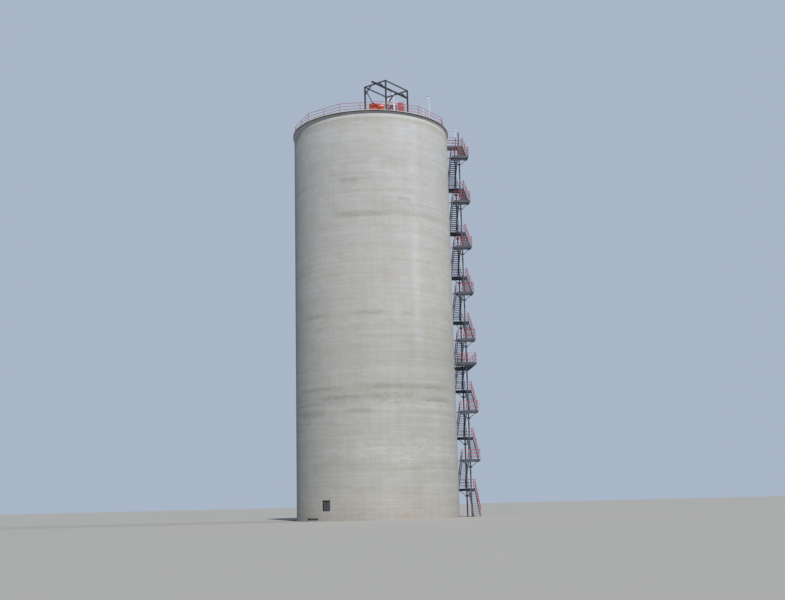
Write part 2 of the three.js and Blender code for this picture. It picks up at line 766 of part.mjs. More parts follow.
function headKnees(side) {
  const a = HEAD_LENGTH / 2;
  const b = HEAD_WIDTH / 2;
  const z = HEAD_HEIGHT - HEAD_RAIL_SIDE / 2;
  const reach = HEAD_KNEE_REACH;
  return [-b, b].map((post) =>
    bar(
      headPoint(side * a, post, z - reach),
      headPoint(side * a, post - Math.sign(post) * reach, z),
      HEAD_KNEE_SIDE,
    ),
  );
}

function addRoofEquipment() {
  addHeadFrame();
  addDriveUnit();
  addFan();
  addFillHood();
  addLampPole("rim_lamp_pole", RIM_LAMP, ROOF_TOP, RIM_LAMP_HEIGHT, LAMP_POLE_RADIUS);
  addLampPole("landing_lamp_pole", LANDING_LAMP, TOP_LANDING, LANDING_LAMP_HEIGHT, LAMP_POLE_RADIUS);
  addLampPole("head_lamp_pole", HEAD_LAMP, ROOF_TOP, HEAD_LAMP_HEIGHT, HEAD_LAMP_POLE_RADIUS);
  const conduitFoot = [...CONDUIT_PLACE, ROOF_TOP];
  const conduitTop = [...CONDUIT_PLACE, ROOF_TOP + CONDUIT_HEIGHT];
  addPart("conduit_stub", drum(conduitFoot, conduitTop, CONDUIT_RADIUS), whitePaint);
}

function addDriveUnit() {
  const [x, y] = DRIVE_PLACE;
  const left = x - DRIVE_LENGTH / 2;
  const right = x + DRIVE_LENGTH / 2;
  const front = y - DRIVE_WIDTH / 2;
  const back = y + DRIVE_WIDTH / 2;
  const bed = ROOF_TOP + DRIVE_BED_HEIGHT;
  const under = bed - DRIVE_BED_THICKNESS;
  const axle = bed + MOTOR_RADIUS - MERGE;
  const caseLeft = left + MOTOR_LENGTH - MERGE;
  const caseRight = caseLeft + GEAR_CASE_LENGTH;
  addPart(
    "drive_unit",
    joined([
      box([left, front, under], [right, back, bed]),
      box([left, front, ROOF_TOP], [left + DRIVE_LEG, back, under + MERGE]),
      box([right - DRIVE_LEG, front, ROOF_TOP], [right, back, under + MERGE]),
      drum([left, y, axle], [left + MOTOR_LENGTH, y, axle], MOTOR_RADIUS, 16),
      box(
        [caseLeft, y - MOTOR_RADIUS, bed - MERGE],
        [caseRight, y + MOTOR_RADIUS, bed + GEAR_CASE_HEIGHT],
      ),
      drum([caseRight - MERGE, y, axle], [right, y, axle], COUPLING_RADIUS),
    ]),
    orangePaint,
  );
}

function addFan() {
  const [x, y] = FAN_PLACE;
  const axle = ROOF_TOP + FAN_AXLE;
  const stand = [FAN_STAND_WIDTH / 2, FAN_STAND_DEPTH / 2];
  const front = y - FAN_CASING_DEPTH / 2;
  const back = y + FAN_CASING_DEPTH / 2;
  addPart(
    "vent_fan",
    joined([
      box(
        [x - stand[0], y - stand[1], ROOF_TOP],
        [x + stand[0], y + stand[1], ROOF_TOP + FAN_STAND_HEIGHT],
      ),
      drum([x, front, axle], [x, back, axle], FAN_RADIUS, 20),
      box(
        [x - FAN_RADIUS, front + MERGE / 2, axle],
        [x - FAN_RADIUS + FAN_OUTLET_WIDTH, back - MERGE / 2, ROOF_TOP + FAN_OUTLET_TOP],
      ),
      drum([x, back - MERGE, axle], [x, back + FAN_MOTOR_LENGTH, axle], FAN_MOTOR_RADIUS),
    ]),
    redPaint,
  );
}

function addFillHood() {
  const [x, y] = HOOD_PLACE;
  const neckFoot = ROOF_TOP + HOOD_HEIGHT - MERGE;
  const neckTop = neckFoot + HOOD_NECK_HEIGHT + MERGE;
  const blockTop = ROOF_TOP + HOOD_BLOCK_TOP;
  const half = HOOD_BLOCK_SIDE / 2;
  const neck = new THREE.CylinderGeometry(HOOD_NECK_TOP, HOOD_NECK_FOOT, neckTop - neckFoot, 16)
    .rotateX(Math.PI / 2)
    .translate(HOOD_NECK_X, y, (neckFoot + neckTop) / 2);
  addPart(
    "fill_hood",
    joined([
      box(
        [x - HOOD_WIDTH / 2, y - HOOD_DEPTH / 2, ROOF_TOP],
        [x + HOOD_WIDTH / 2, y + HOOD_DEPTH / 2, ROOF_TOP + HOOD_HEIGHT],
      ),
      neck,
      box(
        [HOOD_NECK_X - half, y - half, neckTop - MERGE],
        [HOOD_NECK_X + half, y + half, blockTop],
      ),
      drum(
        [HOOD_NECK_X, y, blockTop - MERGE],
        [HOOD_NECK_X, y, ROOF_TOP + STACK_TOP],
        STACK_RADIUS,
      ),
      ...hoodPipes(),
    ]),
    galvanised,
  );
}

// A riser and a gooseneck, both let into the front of the hood.
function hoodPipes() {
  const y = HOOD_PLACE[1] - HOOD_DEPTH / 2 - HOOD_PIPE_STAND_OFF;
  const foot = ROOF_TOP + HOOD_PIPE_FOOT;
  const bend = [GOOSENECK_X, y, ROOF_TOP + GOOSENECK_TOP];
  const lip = [GOOSENECK_X + GOOSENECK_REACH, y, ROOF_TOP + GOOSENECK_TOP - GOOSENECK_FALL];
  return [
    drum([RISER_X, y, foot], [RISER_X, y, ROOF_TOP + RISER_TOP], HOOD_PIPE_RADIUS),
    drum([GOOSENECK_X, y, foot], bend, HOOD_PIPE_RADIUS),
    drum(bend, lip, HOOD_PIPE_RADIUS),
  ];
}

// A pole on a base plate, with a ball lamp under a flat cap on a short arm beside its top.
function addLampPole(name, [x, y], bottom, height, radius) {
  const half = LAMP_BASE_SIDE / 2;
  const top = bottom + height;
  const ball = top - LAMP_BALL_DROP;
  const armFoot = ball - LAMP_ARM_RISE;
  const lamp = [x + LAMP_ARM[0], y + LAMP_ARM[1]];
  const capFoot = top - LAMP_CAP_THICKNESS;
  addPart(
    name,
    joined([
      box([x - half, y - half, bottom], [x + half, y + half, bottom + LAMP_BASE_THICKNESS]),
      drum([x, y, bottom], [x, y, armFoot + MERGE], radius, 10),
      bar([x, y, armFoot], [...lamp, ball], LAMP_ARM_SIDE),
      new THREE.SphereGeometry(LAMP_BALL_RADIUS, 12, 8).translate(...lamp, ball),
      drum([...lamp, ball], [...lamp, capFoot + MERGE / 2], LAMP_STEM_RADIUS),
      drum([...lamp, capFoot], [...lamp, top], LAMP_CAP_RADIUS, 14),
    ]),
    whitePaint,
  );
}

addWalls();
addVent();
addSlabs();
addRoofGuard();
addFlights();
addNearFrame();
addFarFrame();
addStairGuards();
addInnerRails();
addRoofEquipment();

const scaled = new THREE.Group();
scaled.scale.setScalar(MODEL_SCALE * MM_PER_METRE);
scaled.add(model);

export default scaled;
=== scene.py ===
import math

import bmesh
import bpy
from mathutils import Matrix, Vector


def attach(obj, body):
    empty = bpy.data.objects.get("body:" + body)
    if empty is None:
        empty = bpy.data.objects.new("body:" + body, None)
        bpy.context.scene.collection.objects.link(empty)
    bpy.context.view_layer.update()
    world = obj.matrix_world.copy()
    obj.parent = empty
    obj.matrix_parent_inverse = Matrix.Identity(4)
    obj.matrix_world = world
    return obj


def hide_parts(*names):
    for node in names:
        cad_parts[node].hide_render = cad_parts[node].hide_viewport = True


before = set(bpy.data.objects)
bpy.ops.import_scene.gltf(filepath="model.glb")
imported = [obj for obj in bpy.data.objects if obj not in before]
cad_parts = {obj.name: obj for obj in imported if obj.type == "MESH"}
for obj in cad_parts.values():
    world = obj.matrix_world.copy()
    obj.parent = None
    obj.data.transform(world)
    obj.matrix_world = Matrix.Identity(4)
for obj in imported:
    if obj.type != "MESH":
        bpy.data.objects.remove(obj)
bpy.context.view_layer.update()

SCALE = 0.5
UP = Vector((0, 0, 1))
LEFT = Vector((-1, 0, 0))
RIGHT = Vector((1, 0, 0))
NEAR = Vector((0, -1, 0))
FAR = Vector((0, 1, 0))
# A piece's finishes after its main one: bare zinc, then up to two more
ZINC = 1
SECOND = 2
THIRD = 3

# The camera's place, its direction in degrees and its lens in millimetres
CAMERA_PLACE = (-4.0228, -60.5666, 0.8)
CAMERA_YAW = 4.823
CAMERA_PITCH = 10.952
CAMERA_ROLL = -1.372
CAMERA_LENS = 48.43
SENSOR_WIDTH = 36

# Lamps: degrees turned from the camera's side of the silo towards the stair tower, degrees above the ground,
# strength, width in degrees, and colour
KEY_LAMP = (12, 56, 4.4, 1.5, (1.0, 0.985, 0.95))
FILL_LAMP = (90, 32, 1.1, 30, (1.0, 1.0, 0.99))
WORLD_LIGHT = (0.09, 0.19, 0.31)
BACKDROP = (0.40, 0.47, 0.58)
FLOOR_COLOUR = (0.29, 0.275, 0.26, 1.0)
FLOOR_SHADE = (0.26, 0.25, 0.235, 1.0)
FLOOR_REACH = 900
FLOOR_GAP = 0.0005
FLOOR_CORNERS = 128
# The angle about +Z at which the silo faces the camera
FRONT = math.radians(-93.8)

# Silo shell
WALL_RADIUS = 9.15
WALL_THICKNESS = 0.3
WALL_TOP = 44.92
WALL_SEGMENTS = 8
WALL_COLUMNS = 360
ROOF_THICKNESS = 0.18
ROOF_TOP = WALL_TOP + ROOF_THICKNESS
ROOF_RADIUS = 9.3
ROOF_EDGE_ROUNDING = 0.012
VENT_ANGLE = math.radians(-130.9)
VENT_WIDTH = 1.04
VENT_BOTTOM = 1.05
VENT_HEIGHT = 1.14
VENT_FRAME = 0.07
VENT_DEPTH = 0.12
VENT_RECESS = 0.06
VENT_BACK = 0.02
VENT_BARS = 4
BLADE_DEPTH = 0.084
BLADE_RECESS = 0.01
VENT_BOLT_SHARES = (0.08, 0.36, 0.64, 0.92)
SLOT_ANGLE = math.radians(-144.7)
SLOT_WIDTH = 2.05
SLOT_BOTTOM = 0.12
SLOT_HEIGHT = 0.22
# Each hole in the wall: its angle, width, bottom and top
HOLES = (
    (VENT_ANGLE, VENT_WIDTH, VENT_BOTTOM, VENT_BOTTOM + VENT_HEIGHT),
    (SLOT_ANGLE, SLOT_WIDTH, SLOT_BOTTOM, SLOT_BOTTOM + SLOT_HEIGHT),
)

# Stair tower
TOP_LANDING = 45.37
BRIDGE_RISE = TOP_LANDING - ROOF_TOP
BRIDGE_OVERLAP = 0.3
TOWER_X = 10.69
TOWER_Y = 1.88
TOWER_HALF_WIDTH = 0.96
TOWER_LEFT = TOWER_X - TOWER_HALF_WIDTH
TOWER_RIGHT = TOWER_X + TOWER_HALF_WIDTH
FLIGHT_WIDTH = 0.8
FLIGHT_RUN = 3.41
NEAR_EDGE = TOWER_Y - FLIGHT_RUN / 2
FAR_EDGE = TOWER_Y + FLIGHT_RUN / 2
LANDING_DEPTH = 1.05
CHANNEL_DEPTH = 0.28
FLIGHTS = 16
UPPER_FLIGHTS = 14
UPPER_DROP = 2.78
LOWER_DROP = (TOP_LANDING - UPPER_FLIGHTS * UPPER_DROP) / (FLIGHTS - UPPER_FLIGHTS)
UPPER_RISERS = 15
LOWER_RISERS = 17
NEAR_LEVELS = (1, 3, 5, 7, 9, 10, 12, 14)
FAR_LEVELS = (0, 2, 4, 6, 8, 10, 11, 13, 15)
WALKWAY_LEVEL = 10
STRINGER_WIDTH = 0.04
STRINGER_ABOVE = 0.05
STRINGER_BELOW = 0.28
COLUMN_SIDE = 0.14
COLUMN_TOP = 45.85
SPLICE_LEVELS = (3, 7, 11)
# Side view of the stiffeners on a column's base plate: distance from its middle, and height
GUSSET = ((0.07, 0.025), (0.14, 0.025), (0.07, 0.2))
GUSSET_PLACE = 0.048
KNEE_DROP = 0.8
KNEE_PLATE = 0.09
BRACE_SIDE = 0.06
TIE_SIDE = 0.1
TIE_DROP = 0.17
TIE_PLATE = 0.24
TIE_PLATE_THICKNESS = 0.015
NEAR_TIE_ANGLE = math.radians(-1.875)
FAR_TIE_ANGLE = math.radians(24.375)

# Guards
RAIL_TOP = 1.07
GUARD_RAILS = (RAIL_TOP, 0.71, 0.36)
RAIL_RADIUS = 0.024
LOWER_RAIL_SHARE = 0.9
RAIL_BEND = 0.07
POST_RADIUS = 0.025
POST_DROP = 0.2
GUARD_OFFSET = 0.0256
GUARD_LEFT = TOWER_LEFT - GUARD_OFFSET
GUARD_RIGHT = TOWER_RIGHT + GUARD_OFFSET
INNER_INSET = 0.18
BRIDGE_POST_INSET = 0.2
POST_PLATE = 0.1
NARROW_PLATE = 0.05
PLATE_MARGIN = 0.02
ROOF_GUARDS = 6
ROOF_GUARD_RADIUS = 9.05
PANEL_ANGLE = math.radians(30)
FIRST_PANEL_CORNER = math.radians(64)
PANELS_A_NODE = 2
GATE_START = math.radians(22.4)
GATE_END = math.radians(31.6)

# Roof equipment: the head frame and its hoist beam
HEAD_PLACE = (1.58, -5.29)
HEAD_TURN = math.radians(47.4)
HEAD_AXES = Matrix.Translation((*HEAD_PLACE, ROOF_TOP)) @ Matrix.Rotation(HEAD_TURN, 4, "Z")
HEAD_LENGTH = 4.1
HEAD_WIDTH = 3.05
HEAD_HEIGHT = 4.12
HEAD_POST_SIDE = 0.15
HEAD_CAP = 0.01
HEAD_RAIL_SIDE = 0.12
HEAD_KNEE_REACH = 0.95
HEAD_KNEE_SIDE = 0.11
HEAD_ROD_RADIUS = 0.045
HEAD_ROD_DROP = 0.3
HEAD_ROD_FOOT = 0.12
HOIST_WIDTH = 0.13
HOIST_DEPTH = 0.2
HOIST_RISE = 0.13
HOIST_NEAR = 0.6
HOIST_FAR = 1.85
HOIST_STOP = 0.03

# Roof machines
DRIVE_PLACE = (0.4, -5.35)
DRIVE_LENGTH = 1.66
DRIVE_WIDTH = 0.8
DRIVE_BED_HEIGHT = 1.57
DRIVE_BED_THICKNESS = 0.15
DRIVE_LEG = 0.2
DRIVE_LEG_FLANGE = 0.12
MOTOR_LENGTH = 0.8
MOTOR_RADIUS = 0.36
MOTOR_SINK = 0.05
MOTOR_FINS = 30
FIN_SHARE = 0.35
GEAR_CASE_LENGTH = 0.5
GEAR_CASE_HEIGHT = 0.6
GEAR_CASE_CHAMFER = 0.07
COUPLING_RADIUS = 0.2
FAN_PLACE = (3.3, -5.2)
FAN_STAND_WIDTH = 0.7
FAN_STAND_DEPTH = 0.6
FAN_STAND_HEIGHT = 1.45
FAN_STAND_ANGLE = 0.07
FAN_AXLE = 1.78
FAN_RADIUS = 0.38
FAN_CASING_DEPTH = 0.4
FAN_OUTLET_WIDTH = 0.6
FAN_OUTLET_TOP = 2.37
FAN_MOTOR_RADIUS = 0.2
FAN_MOTOR_LENGTH = 0.45
HOOD_PLACE = (2.06, -4.75)
HOOD_WIDTH = 1.56
HOOD_DEPTH = 1.1
HOOD_HEIGHT = 2.12
HOOD_SHEET_INSET = 0.015
HOOD_NECK_X = 1.78
HOOD_NECK_HEIGHT = 0.23
HOOD_NECK_FOOT = 0.48
HOOD_NECK_TOP = 0.25
HOOD_BLOCK_SIDE = 0.45
HOOD_BLOCK_TOP = 2.65
STACK_RADIUS = 0.065
STACK_TOP = 3.12
HOOD_PIPE_RADIUS = 0.055
HOOD_PIPE_FOOT = 0.4
HOOD_PIPE_STAND_OFF = 0.02
RISER_X = 1.4
RISER_TOP = 2.75
GOOSENECK_X = 2.5
GOOSENECK_TOP = 2.73
GOOSENECK_REACH = 0.3
GOOSENECK_FALL = 0.38
CLIP_HEIGHTS = (0.6, 1.3, 1.95)
# Lamp poles: name, place, height of the floor under the pole, height and radius of the pole
LAMP_POLES = (
    ("rim_lamp", (6.41, -6.45), ROOF_TOP, 2.72, 0.03),
    ("landing_lamp", (10.84, 3.75), TOP_LANDING, 2.4, 0.03),
    ("head_lamp", (2.38, -5.8), ROOF_TOP, 3.45, 0.05),
)
LAMP_ARM = (-0.14, -0.09)
LAMP_ARM_RISE = 0.12
LAMP_ARM_RADIUS = 0.022
LAMP_BALL_RADIUS = 0.11
LAMP_BALL_DROP = 0.27
LAMP_CAP_RADIUS = 0.17
LAMP_CAP_THICKNESS = 0.07
CONDUIT_PLACE = (5.74, -6.45)
CONDUIT_HEIGHT = 1.15
CONDUIT_RADIUS = 0.06

# Clearance between neighbours, and small steel parts
SEAT = 0.0006
PLATE_THICKNESS = 0.012
WEB = 0.008
FLANGE = 0.012
TUBE_CHAMFER = 0.012
CHANNEL_FLANGE = 0.05
TREAD_DEPTH = 0.035
TREAD_PLATE = 0.006
TREAD_NOSE = 0.02
TREAD_LIP = 0.03
FLOORING = 0.03
JOIST_PITCH = 0.5
JOIST_SIDE = 0.06
GRATING_PITCH = 0.034
GRATING_BAR = 0.005
ROD_PITCH = 0.1
ROD_WIDTH = 0.006
ROD_BOTTOM = 0.008
ROD_TOP = 0.0005
BOLT_RADIUS = 0.014
BOLT_HEIGHT = 0.012
# Bolts of other sizes: radius and height of the head
TREAD_BOLT = (0.011, 0.009)
TIE_BOLT = (0.018, 0.02)
WAIST_BOLT = (0.016, 0.02)
CASING_BOLT = (0.012, 0.01)
BOX_BOLT = (0.02, 0.015)
# Base plates: half a side, thickness, reach of the bolts from the middle, and their radius and height
POST_BASE = (0.07, 0.012, 0.045, 0.014, 0.012)
COLUMN_BASE = (0.15, 0.025, 0.11, 0.022, 0.03)
HEAD_BASE = (0.15, 0.02, 0.11, 0.018, 0.02)
LAMP_BASE = (0.12, 0.02, 0.085, 0.016, 0.018)

# Angle past which two faces meet in a crease
CREASE = math.radians(40)
TINY = 1e-6


class Shape:
    """Closed solids in the real silo's metres that together make one piece."""

    def __init__(self):
        self.points = []
        self.faces = []
        self.paints = []

    def add(self, points, faces, paint=0):
        first = len(self.points)
        self.points.extend(Vector(point) for point in points)
        for face in faces:
            self.faces.append([first + corner for corner in face])
            self.paints.append(paint)

    def piece(self, name, materials, nodes, slot):
        """Makes the piece's mesh at the model's size, in place of the named nodes."""
        mesh = bpy.data.meshes.new(name)
        mesh.from_pydata([point * SCALE for point in self.points], [], self.faces)
        for material in materials:
            mesh.materials.append(material)
        mesh.polygons.foreach_set("material_index", self.paints)
        solid = bmesh.new()
        solid.from_mesh(mesh)
        bmesh.ops.recalc_face_normals(solid, faces=solid.faces)
        solid.to_mesh(mesh)
        solid.free()
        mesh.polygons.foreach_set("use_smooth", [True] * len(mesh.polygons))
        mesh.set_sharp_from_angle(angle=CREASE)
        made = linked(name, mesh)
        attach(made, "root")
        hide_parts(*nodes)


def linked(name, data):
    made = bpy.data.objects.new(name, data)
    bpy.context.scene.collection.objects.link(made)
    return made


# Solids

def prism(shape, outline, along, paint=0):
    """A flat outline of points pushed along a vector."""
    count = len(outline)
    start = [Vector(point) for point in outline]
    end = [point + Vector(along) for point in start]
    sides = [(i, (i + 1) % count, count + (i + 1) % count, count + i) for i in range(count)]
    caps = [tuple(range(count)), tuple(range(2 * count - 1, count - 1, -1))]
    shape.add(start + end, caps + sides, paint)


def box(shape, low, high, paint=0, axes=Matrix()):
    """A box between two corners, in axes of its own where they are given."""
    outline = [(low[0], low[1]), (high[0], low[1]), (high[0], high[1]), (low[0], high[1])]
    prism(shape, [axes @ Vector((x, y, low[2])) for x, y in outline], (0, 0, high[2] - low[2]), paint)


def block(shape, middle, half, bottom, top, paint=0):
    """A box round an upright line at (x, y), given its half-widths along X and Y."""
    (x, y), (w, d) = middle, half
    box(shape, (x - w, y - d, bottom), (x + w, y + d, top), paint)


def bar(shape, start, end, section, side=None, paint=0):
    """A straight bar whose section is a list of (sideways, upwards) points."""
    start = Vector(start)
    along = Vector(end) - start
    across = Vector(side) if side else along.cross(UP)
    if across.length < TINY:
        across = RIGHT
    across = across - along * (across.dot(along) / along.length_squared)
    across.normalize()
    up = across.cross(along).normalized()
    prism(shape, [start + across * u + up * v for u, v in section], along, paint)


def flat_section(width, height):
    u, v = width / 2, height / 2
    return [(-u, -v), (u, -v), (u, v), (-u, v)]


def round_section(radius, sides):
    turns = [2 * math.pi * side / sides for side in range(sides)]
    return [(radius * math.cos(turn), radius * math.sin(turn)) for turn in turns]


def angle_section(leg, thickness=WEB):
    half = leg / 2
    inner = thickness - half
    return [(-half, -half), (half, -half), (half, inner), (inner, inner), (inner, half), (-half, half)]


def beam_section(width, depth, web, flange):
    """An H or I section."""
    w, d, t, f = width / 2, depth / 2, web / 2, depth / 2 - flange
    right = [(w, -d), (w, -f), (t, -f), (t, f), (w, f), (w, d)]
    return right + [(-u, -v) for u, v in right]


def channel_section(flange, depth, web, thickness):
    """A channel with its web at -u and its flanges towards +u."""
    d, f = depth / 2, depth / 2 - thickness
    return [(0, -d), (flange, -d), (flange, -f), (web, -f), (web, f), (flange, f), (flange, d), (0, d)]


def tube_section(side):
    """A square tube with its corners cut off."""
    h, c = side / 2, side / 2 - TUBE_CHAMFER
    return [(-c, -h), (c, -h), (h, -c), (h, c), (c, h), (-c, h), (-h, c), (-h, -c)]


def rounded(points, radius, steps=3):
    """A path with each corner turned into a short curve."""
    points = [Vector(point) for point in points]
    path = [points[0]]
    for before, corner, after in zip(points, points[1:], points[2:]):
        reach = min(radius, (corner - before).length / 2, (after - corner).length / 2)
        start = corner + (before - corner).normalized() * reach
        end = corner + (after - corner).normalized() * reach
        for step in range(steps + 1):
            share = step / steps
            path.append(start.lerp(corner, share).lerp(corner.lerp(end, share), share))
    return path + [points[-1]]


def pipe(shape, points, radius, sides=10, paint=0):
    """A round bar along a path."""
    points = [Vector(point) for point in points]
    rings = []
    normal = (points[1] - points[0]).orthogonal()
    for place, point in enumerate(points):
        before = points[max(place - 1, 0)]
        after = points[min(place + 1, len(points) - 1)]
        tangent = (after - before).normalized()
        normal = (normal - tangent * normal.dot(tangent)).normalized()
        binormal = tangent.cross(normal)
        rings.extend(point + normal * u + binormal * v for u, v in round_section(radius, sides))
    faces = [tuple(range(sides)), tuple(range(len(rings) - sides, len(rings)))]
    for ring in range(len(points) - 1):
        for side in range(sides):
            a = ring * sides + side
            b = ring * sides + (side + 1) % sides
            faces.append((a, b, b + sides, a + sides))
    shape.add(rings, faces, paint)


def lathe(shape, foot, axis, profile, sides=24, paint=0):
    """Turns a profile of (distance along the axis, radius) points that starts and ends on the axis."""
    foot = Vector(foot)
    axis = Vector(axis).normalized()
    first = axis.orthogonal().normalized()
    second = axis.cross(first)
    points = []
    rings = []
    for along, radius in profile:
        count = sides if radius > TINY else 1
        rings.append(list(range(len(points), len(points) + count)))
        for u, v in round_section(radius, sides)[:count]:
            points.append(foot + axis * along + first * u + second * v)
    faces = []
    for lower, upper in zip(rings, rings[1:]):
        for side in range(sides):
            after = (side + 1) % sides
            corners = [lower[side % len(lower)], lower[after % len(lower)]]
            corners += [upper[after % len(upper)], upper[side % len(upper)]]
            faces.append(tuple(dict.fromkeys(corners)))
    shape.add(points, faces, paint)


def bolt(shape, place, direction, radius=BOLT_RADIUS, height=BOLT_HEIGHT):
    place = Vector(place)
    head = place + Vector(direction).normalized() * height
    bar(shape, place, head, round_section(radius, 6), paint=ZINC)


def base_plate(shape, foot, half, thickness, reach, radius, height, paint=0, axes=Matrix()):
    """A square plate with a bolt near each corner; foot is the middle of its underside."""
    x, y, bottom = foot
    top = bottom + thickness
    box(shape, (x - half, y - half, bottom), (x + half, y + half, top), paint, axes)
    for u in (-reach, reach):
        for v in (-reach, reach):
            bolt(shape, axes @ Vector((x + u, y + v, top)), UP, radius, height)


def grating(shape, low, high, bars_along):
    """Open flooring between two corners: flat bars along X (0) or Y (1) and thin rods across them."""

    def strip(axis, share, width, bottom, top):
        """A thin strip right across the flooring, at a share of its length along an axis."""
        middle = low[axis] + (high[axis] - low[axis]) * share
        corner, end = [low[0], low[1], bottom], [high[0], high[1], top]
        corner[axis], end[axis] = middle - width / 2, middle + width / 2
        box(shape, corner, end)

    across = 1 - bars_along
    bars = max(round((high[across] - low[across]) / GRATING_PITCH), 1)
    rods = max(round((high[bars_along] - low[bars_along]) / ROD_PITCH), 1)
    for place in range(bars + 1):
        strip(across, place / bars, GRATING_BAR, low[2], high[2])
    for place in range(rods):
        strip(bars_along, (place + 0.5) / rods, ROD_WIDTH, high[2] - ROD_BOTTOM, high[2] - ROD_TOP)


# Materials

# The range in which nearly all of a noise pattern lies
NOISE_LOW = 0.3
NOISE_HIGH = 0.7


class Paint:
    """A material's nodes, with helpers that read every pattern from the object's own coordinates."""

    def __init__(self, name):
        self.material = bpy.data.materials.new(name)
        self.material.use_nodes = True
        self.tree = self.material.node_tree
        self.shader = self.tree.nodes["Principled BSDF"]
        self.place = self.node("ShaderNodeTexCoord").outputs["Object"]

    def node(self, kind, settings=(), **inputs):
        made = self.tree.nodes.new(kind)
        for key, value in dict(settings).items():
            setattr(made, key, value)
        for key, value in inputs.items():
            self.put(made.inputs[key], value)
        return made

    def put(self, socket, value):
        if isinstance(value, bpy.types.NodeSocket):
            self.tree.links.new(value, socket)
        else:
            socket.default_value = value

    def stretched(self, scale):
        return self.node("ShaderNodeMapping", Vector=self.place, Scale=scale).outputs["Vector"]

    def axes(self):
        """The coordinates of a point one by one, under X, Y and Z."""
        return self.node("ShaderNodeSeparateXYZ", Vector=self.place).outputs

    def noise(self, size, stretch=(1, 1, 1), detail=2.0, roughness=0.5):
        """Soft noise whose features are about size metres across on the model, before any stretch."""
        place = self.stretched(tuple(1 / (size * share) for share in stretch))
        made = self.node("ShaderNodeTexNoise", Vector=place, Scale=1.0, Detail=detail, Roughness=roughness)
        return made.outputs["Fac"]

    def spread(self, value, low, high, bottom=0.0, top=1.0):
        """Maps low..high to bottom..top and holds it there outside."""
        made = self.node("ShaderNodeMapRange")
        for socket, given in zip(made.inputs, (value, low, high, bottom, top)):
            self.put(socket, given)
        return made.outputs["Result"]

    def tone(self, pattern, dark=0.0, light=1.0):
        return self.spread(pattern, NOISE_LOW, NOISE_HIGH, dark, light)

    def math(self, operation, first, second=0.0):
        made = self.node("ShaderNodeMath", {"operation": operation})
        self.put(made.inputs[0], first)
        self.put(made.inputs[1], second)
        return made.outputs[0]

    def product(self, first, *others):
        for other in others:
            first = self.math("MULTIPLY", first, other)
        return first

    def apart(self, value, middle):
        """How far a value is from a middle, on either side."""
        return self.math("ABSOLUTE", self.math("SUBTRACT", value, middle))

    def mix(self, share, first, second, blend="MIX"):
        made = self.node("ShaderNodeMix", {"data_type": "RGBA", "blend_type": blend})
        self.put(made.inputs["Factor"], share)
        for name, value in (("A", first), ("B", second)):
            socket = next(s for s in made.inputs if s.name == name and s.type == "RGBA")
            self.put(socket, value)
        return next(s for s in made.outputs if s.type == "RGBA")

    def grey(self, value):
        return self.node("ShaderNodeCombineColor", Red=value, Green=value, Blue=value).outputs["Color"]

    def bump(self, pattern, depth, strength):
        made = self.node("ShaderNodeBump", Height=pattern, Distance=depth, Strength=strength)
        self.put(self.shader.inputs["Normal"], made.outputs["Normal"])

    def finish(self, colour, roughness, metallic=0.0, specular=0.5):
        self.put(self.shader.inputs["Base Color"], colour)
        self.put(self.shader.inputs["Roughness"], roughness)
        self.shader.inputs["Metallic"].default_value = metallic
        self.shader.inputs["Specular IOR Level"].default_value = specular
        return self.material


def rgb(red, green, blue):
    return (red, green, blue, 1.0)


def in_radians(degrees):
    return [math.radians(value) for value in degrees]


def at_scale(lengths):
    return [value * SCALE for value in lengths]


# The concrete's tone at real heights, from the foot up
WALL_TONES = (
    (0.3, rgb(0.436, 0.404, 0.363)),
    (4.0, rgb(0.432, 0.415, 0.384)),
    (9.0, rgb(0.430, 0.415, 0.385)),
    (18.0, rgb(0.432, 0.418, 0.388)),
    (26.0, rgb(0.458, 0.438, 0.412)),
    (39.0, rgb(0.464, 0.450, 0.433)),
    (42.3, rgb(0.497, 0.482, 0.470)),
)
WALL_WARM = rgb(1.015, 1.0, 0.975)
WALL_COOL = rgb(0.985, 1.0, 1.02)
WALL_PALE = rgb(0.53, 0.525, 0.54)
WALL_STAIN = rgb(0.27, 0.253, 0.215)
WALL_CHALKY = rgb(0.535, 0.523, 0.495)
WALL_SOILED = rgb(0.90, 0.89, 0.83)
# Brightening painted on the strip just under the roof's edge, lighter than the concrete's own tone
WALL_BRIGHT_STRIP = rgb(1.11, 1.11, 1.11)
WALL_DIRT = rgb(0.30, 0.265, 0.21)
# How far each pattern darkens and lightens the wall
BAND_SHADES = (0.93, 1.055)
BLOTCH_SHADES = (0.935, 1.05)
PATCH_SHADES = (0.945, 1.045)
STREAK_SHADES = (1.025, 0.955)
# Contrast of the finest level lines, low on the wall and higher up
WALL_LINES_LOW = 0.06
WALL_LINES_HIGH = 0.036
# How much darker the lower wall is from the stair tower's side round to the front
WALL_SIDE_SHADE = 0.085
# Where that shade sets in and ends, in degrees from the front, and the real heights where it fades out
SHADE_START = (8, 28)
SHADE_END = (100, 130)
SHADE_FADE = (18, 26)
# Real heights between which the finest lines weaken
LINES_FADE = (4, 11)
# The pale upright streak: degrees from the front, degrees from its middle to its edges, and real heights
PALE_STREAK_BEARING = 31
PALE_STREAK_EDGE = (1, 5)
PALE_STREAK_FADE = (13, 20)
PALE_STREAK_STRENGTH = 0.4
# Depths under the roof's edge where the painted brighter strip ends and where the soiled zone sets in and
# ends
BRIGHT_STRIP_END = (0.22, 0.3)
SOILED_START = (0.24, 0.32)
SOILED_END = (0.6, 0.95)
SOILED_FRAY = 0.4
# Height of one lift of the shutters, on the model, how far its joint wavers, and the joint's shade
LIFT = 0.325
LIFT_WOBBLE = 0.3
LIFT_SHADE = 0.95
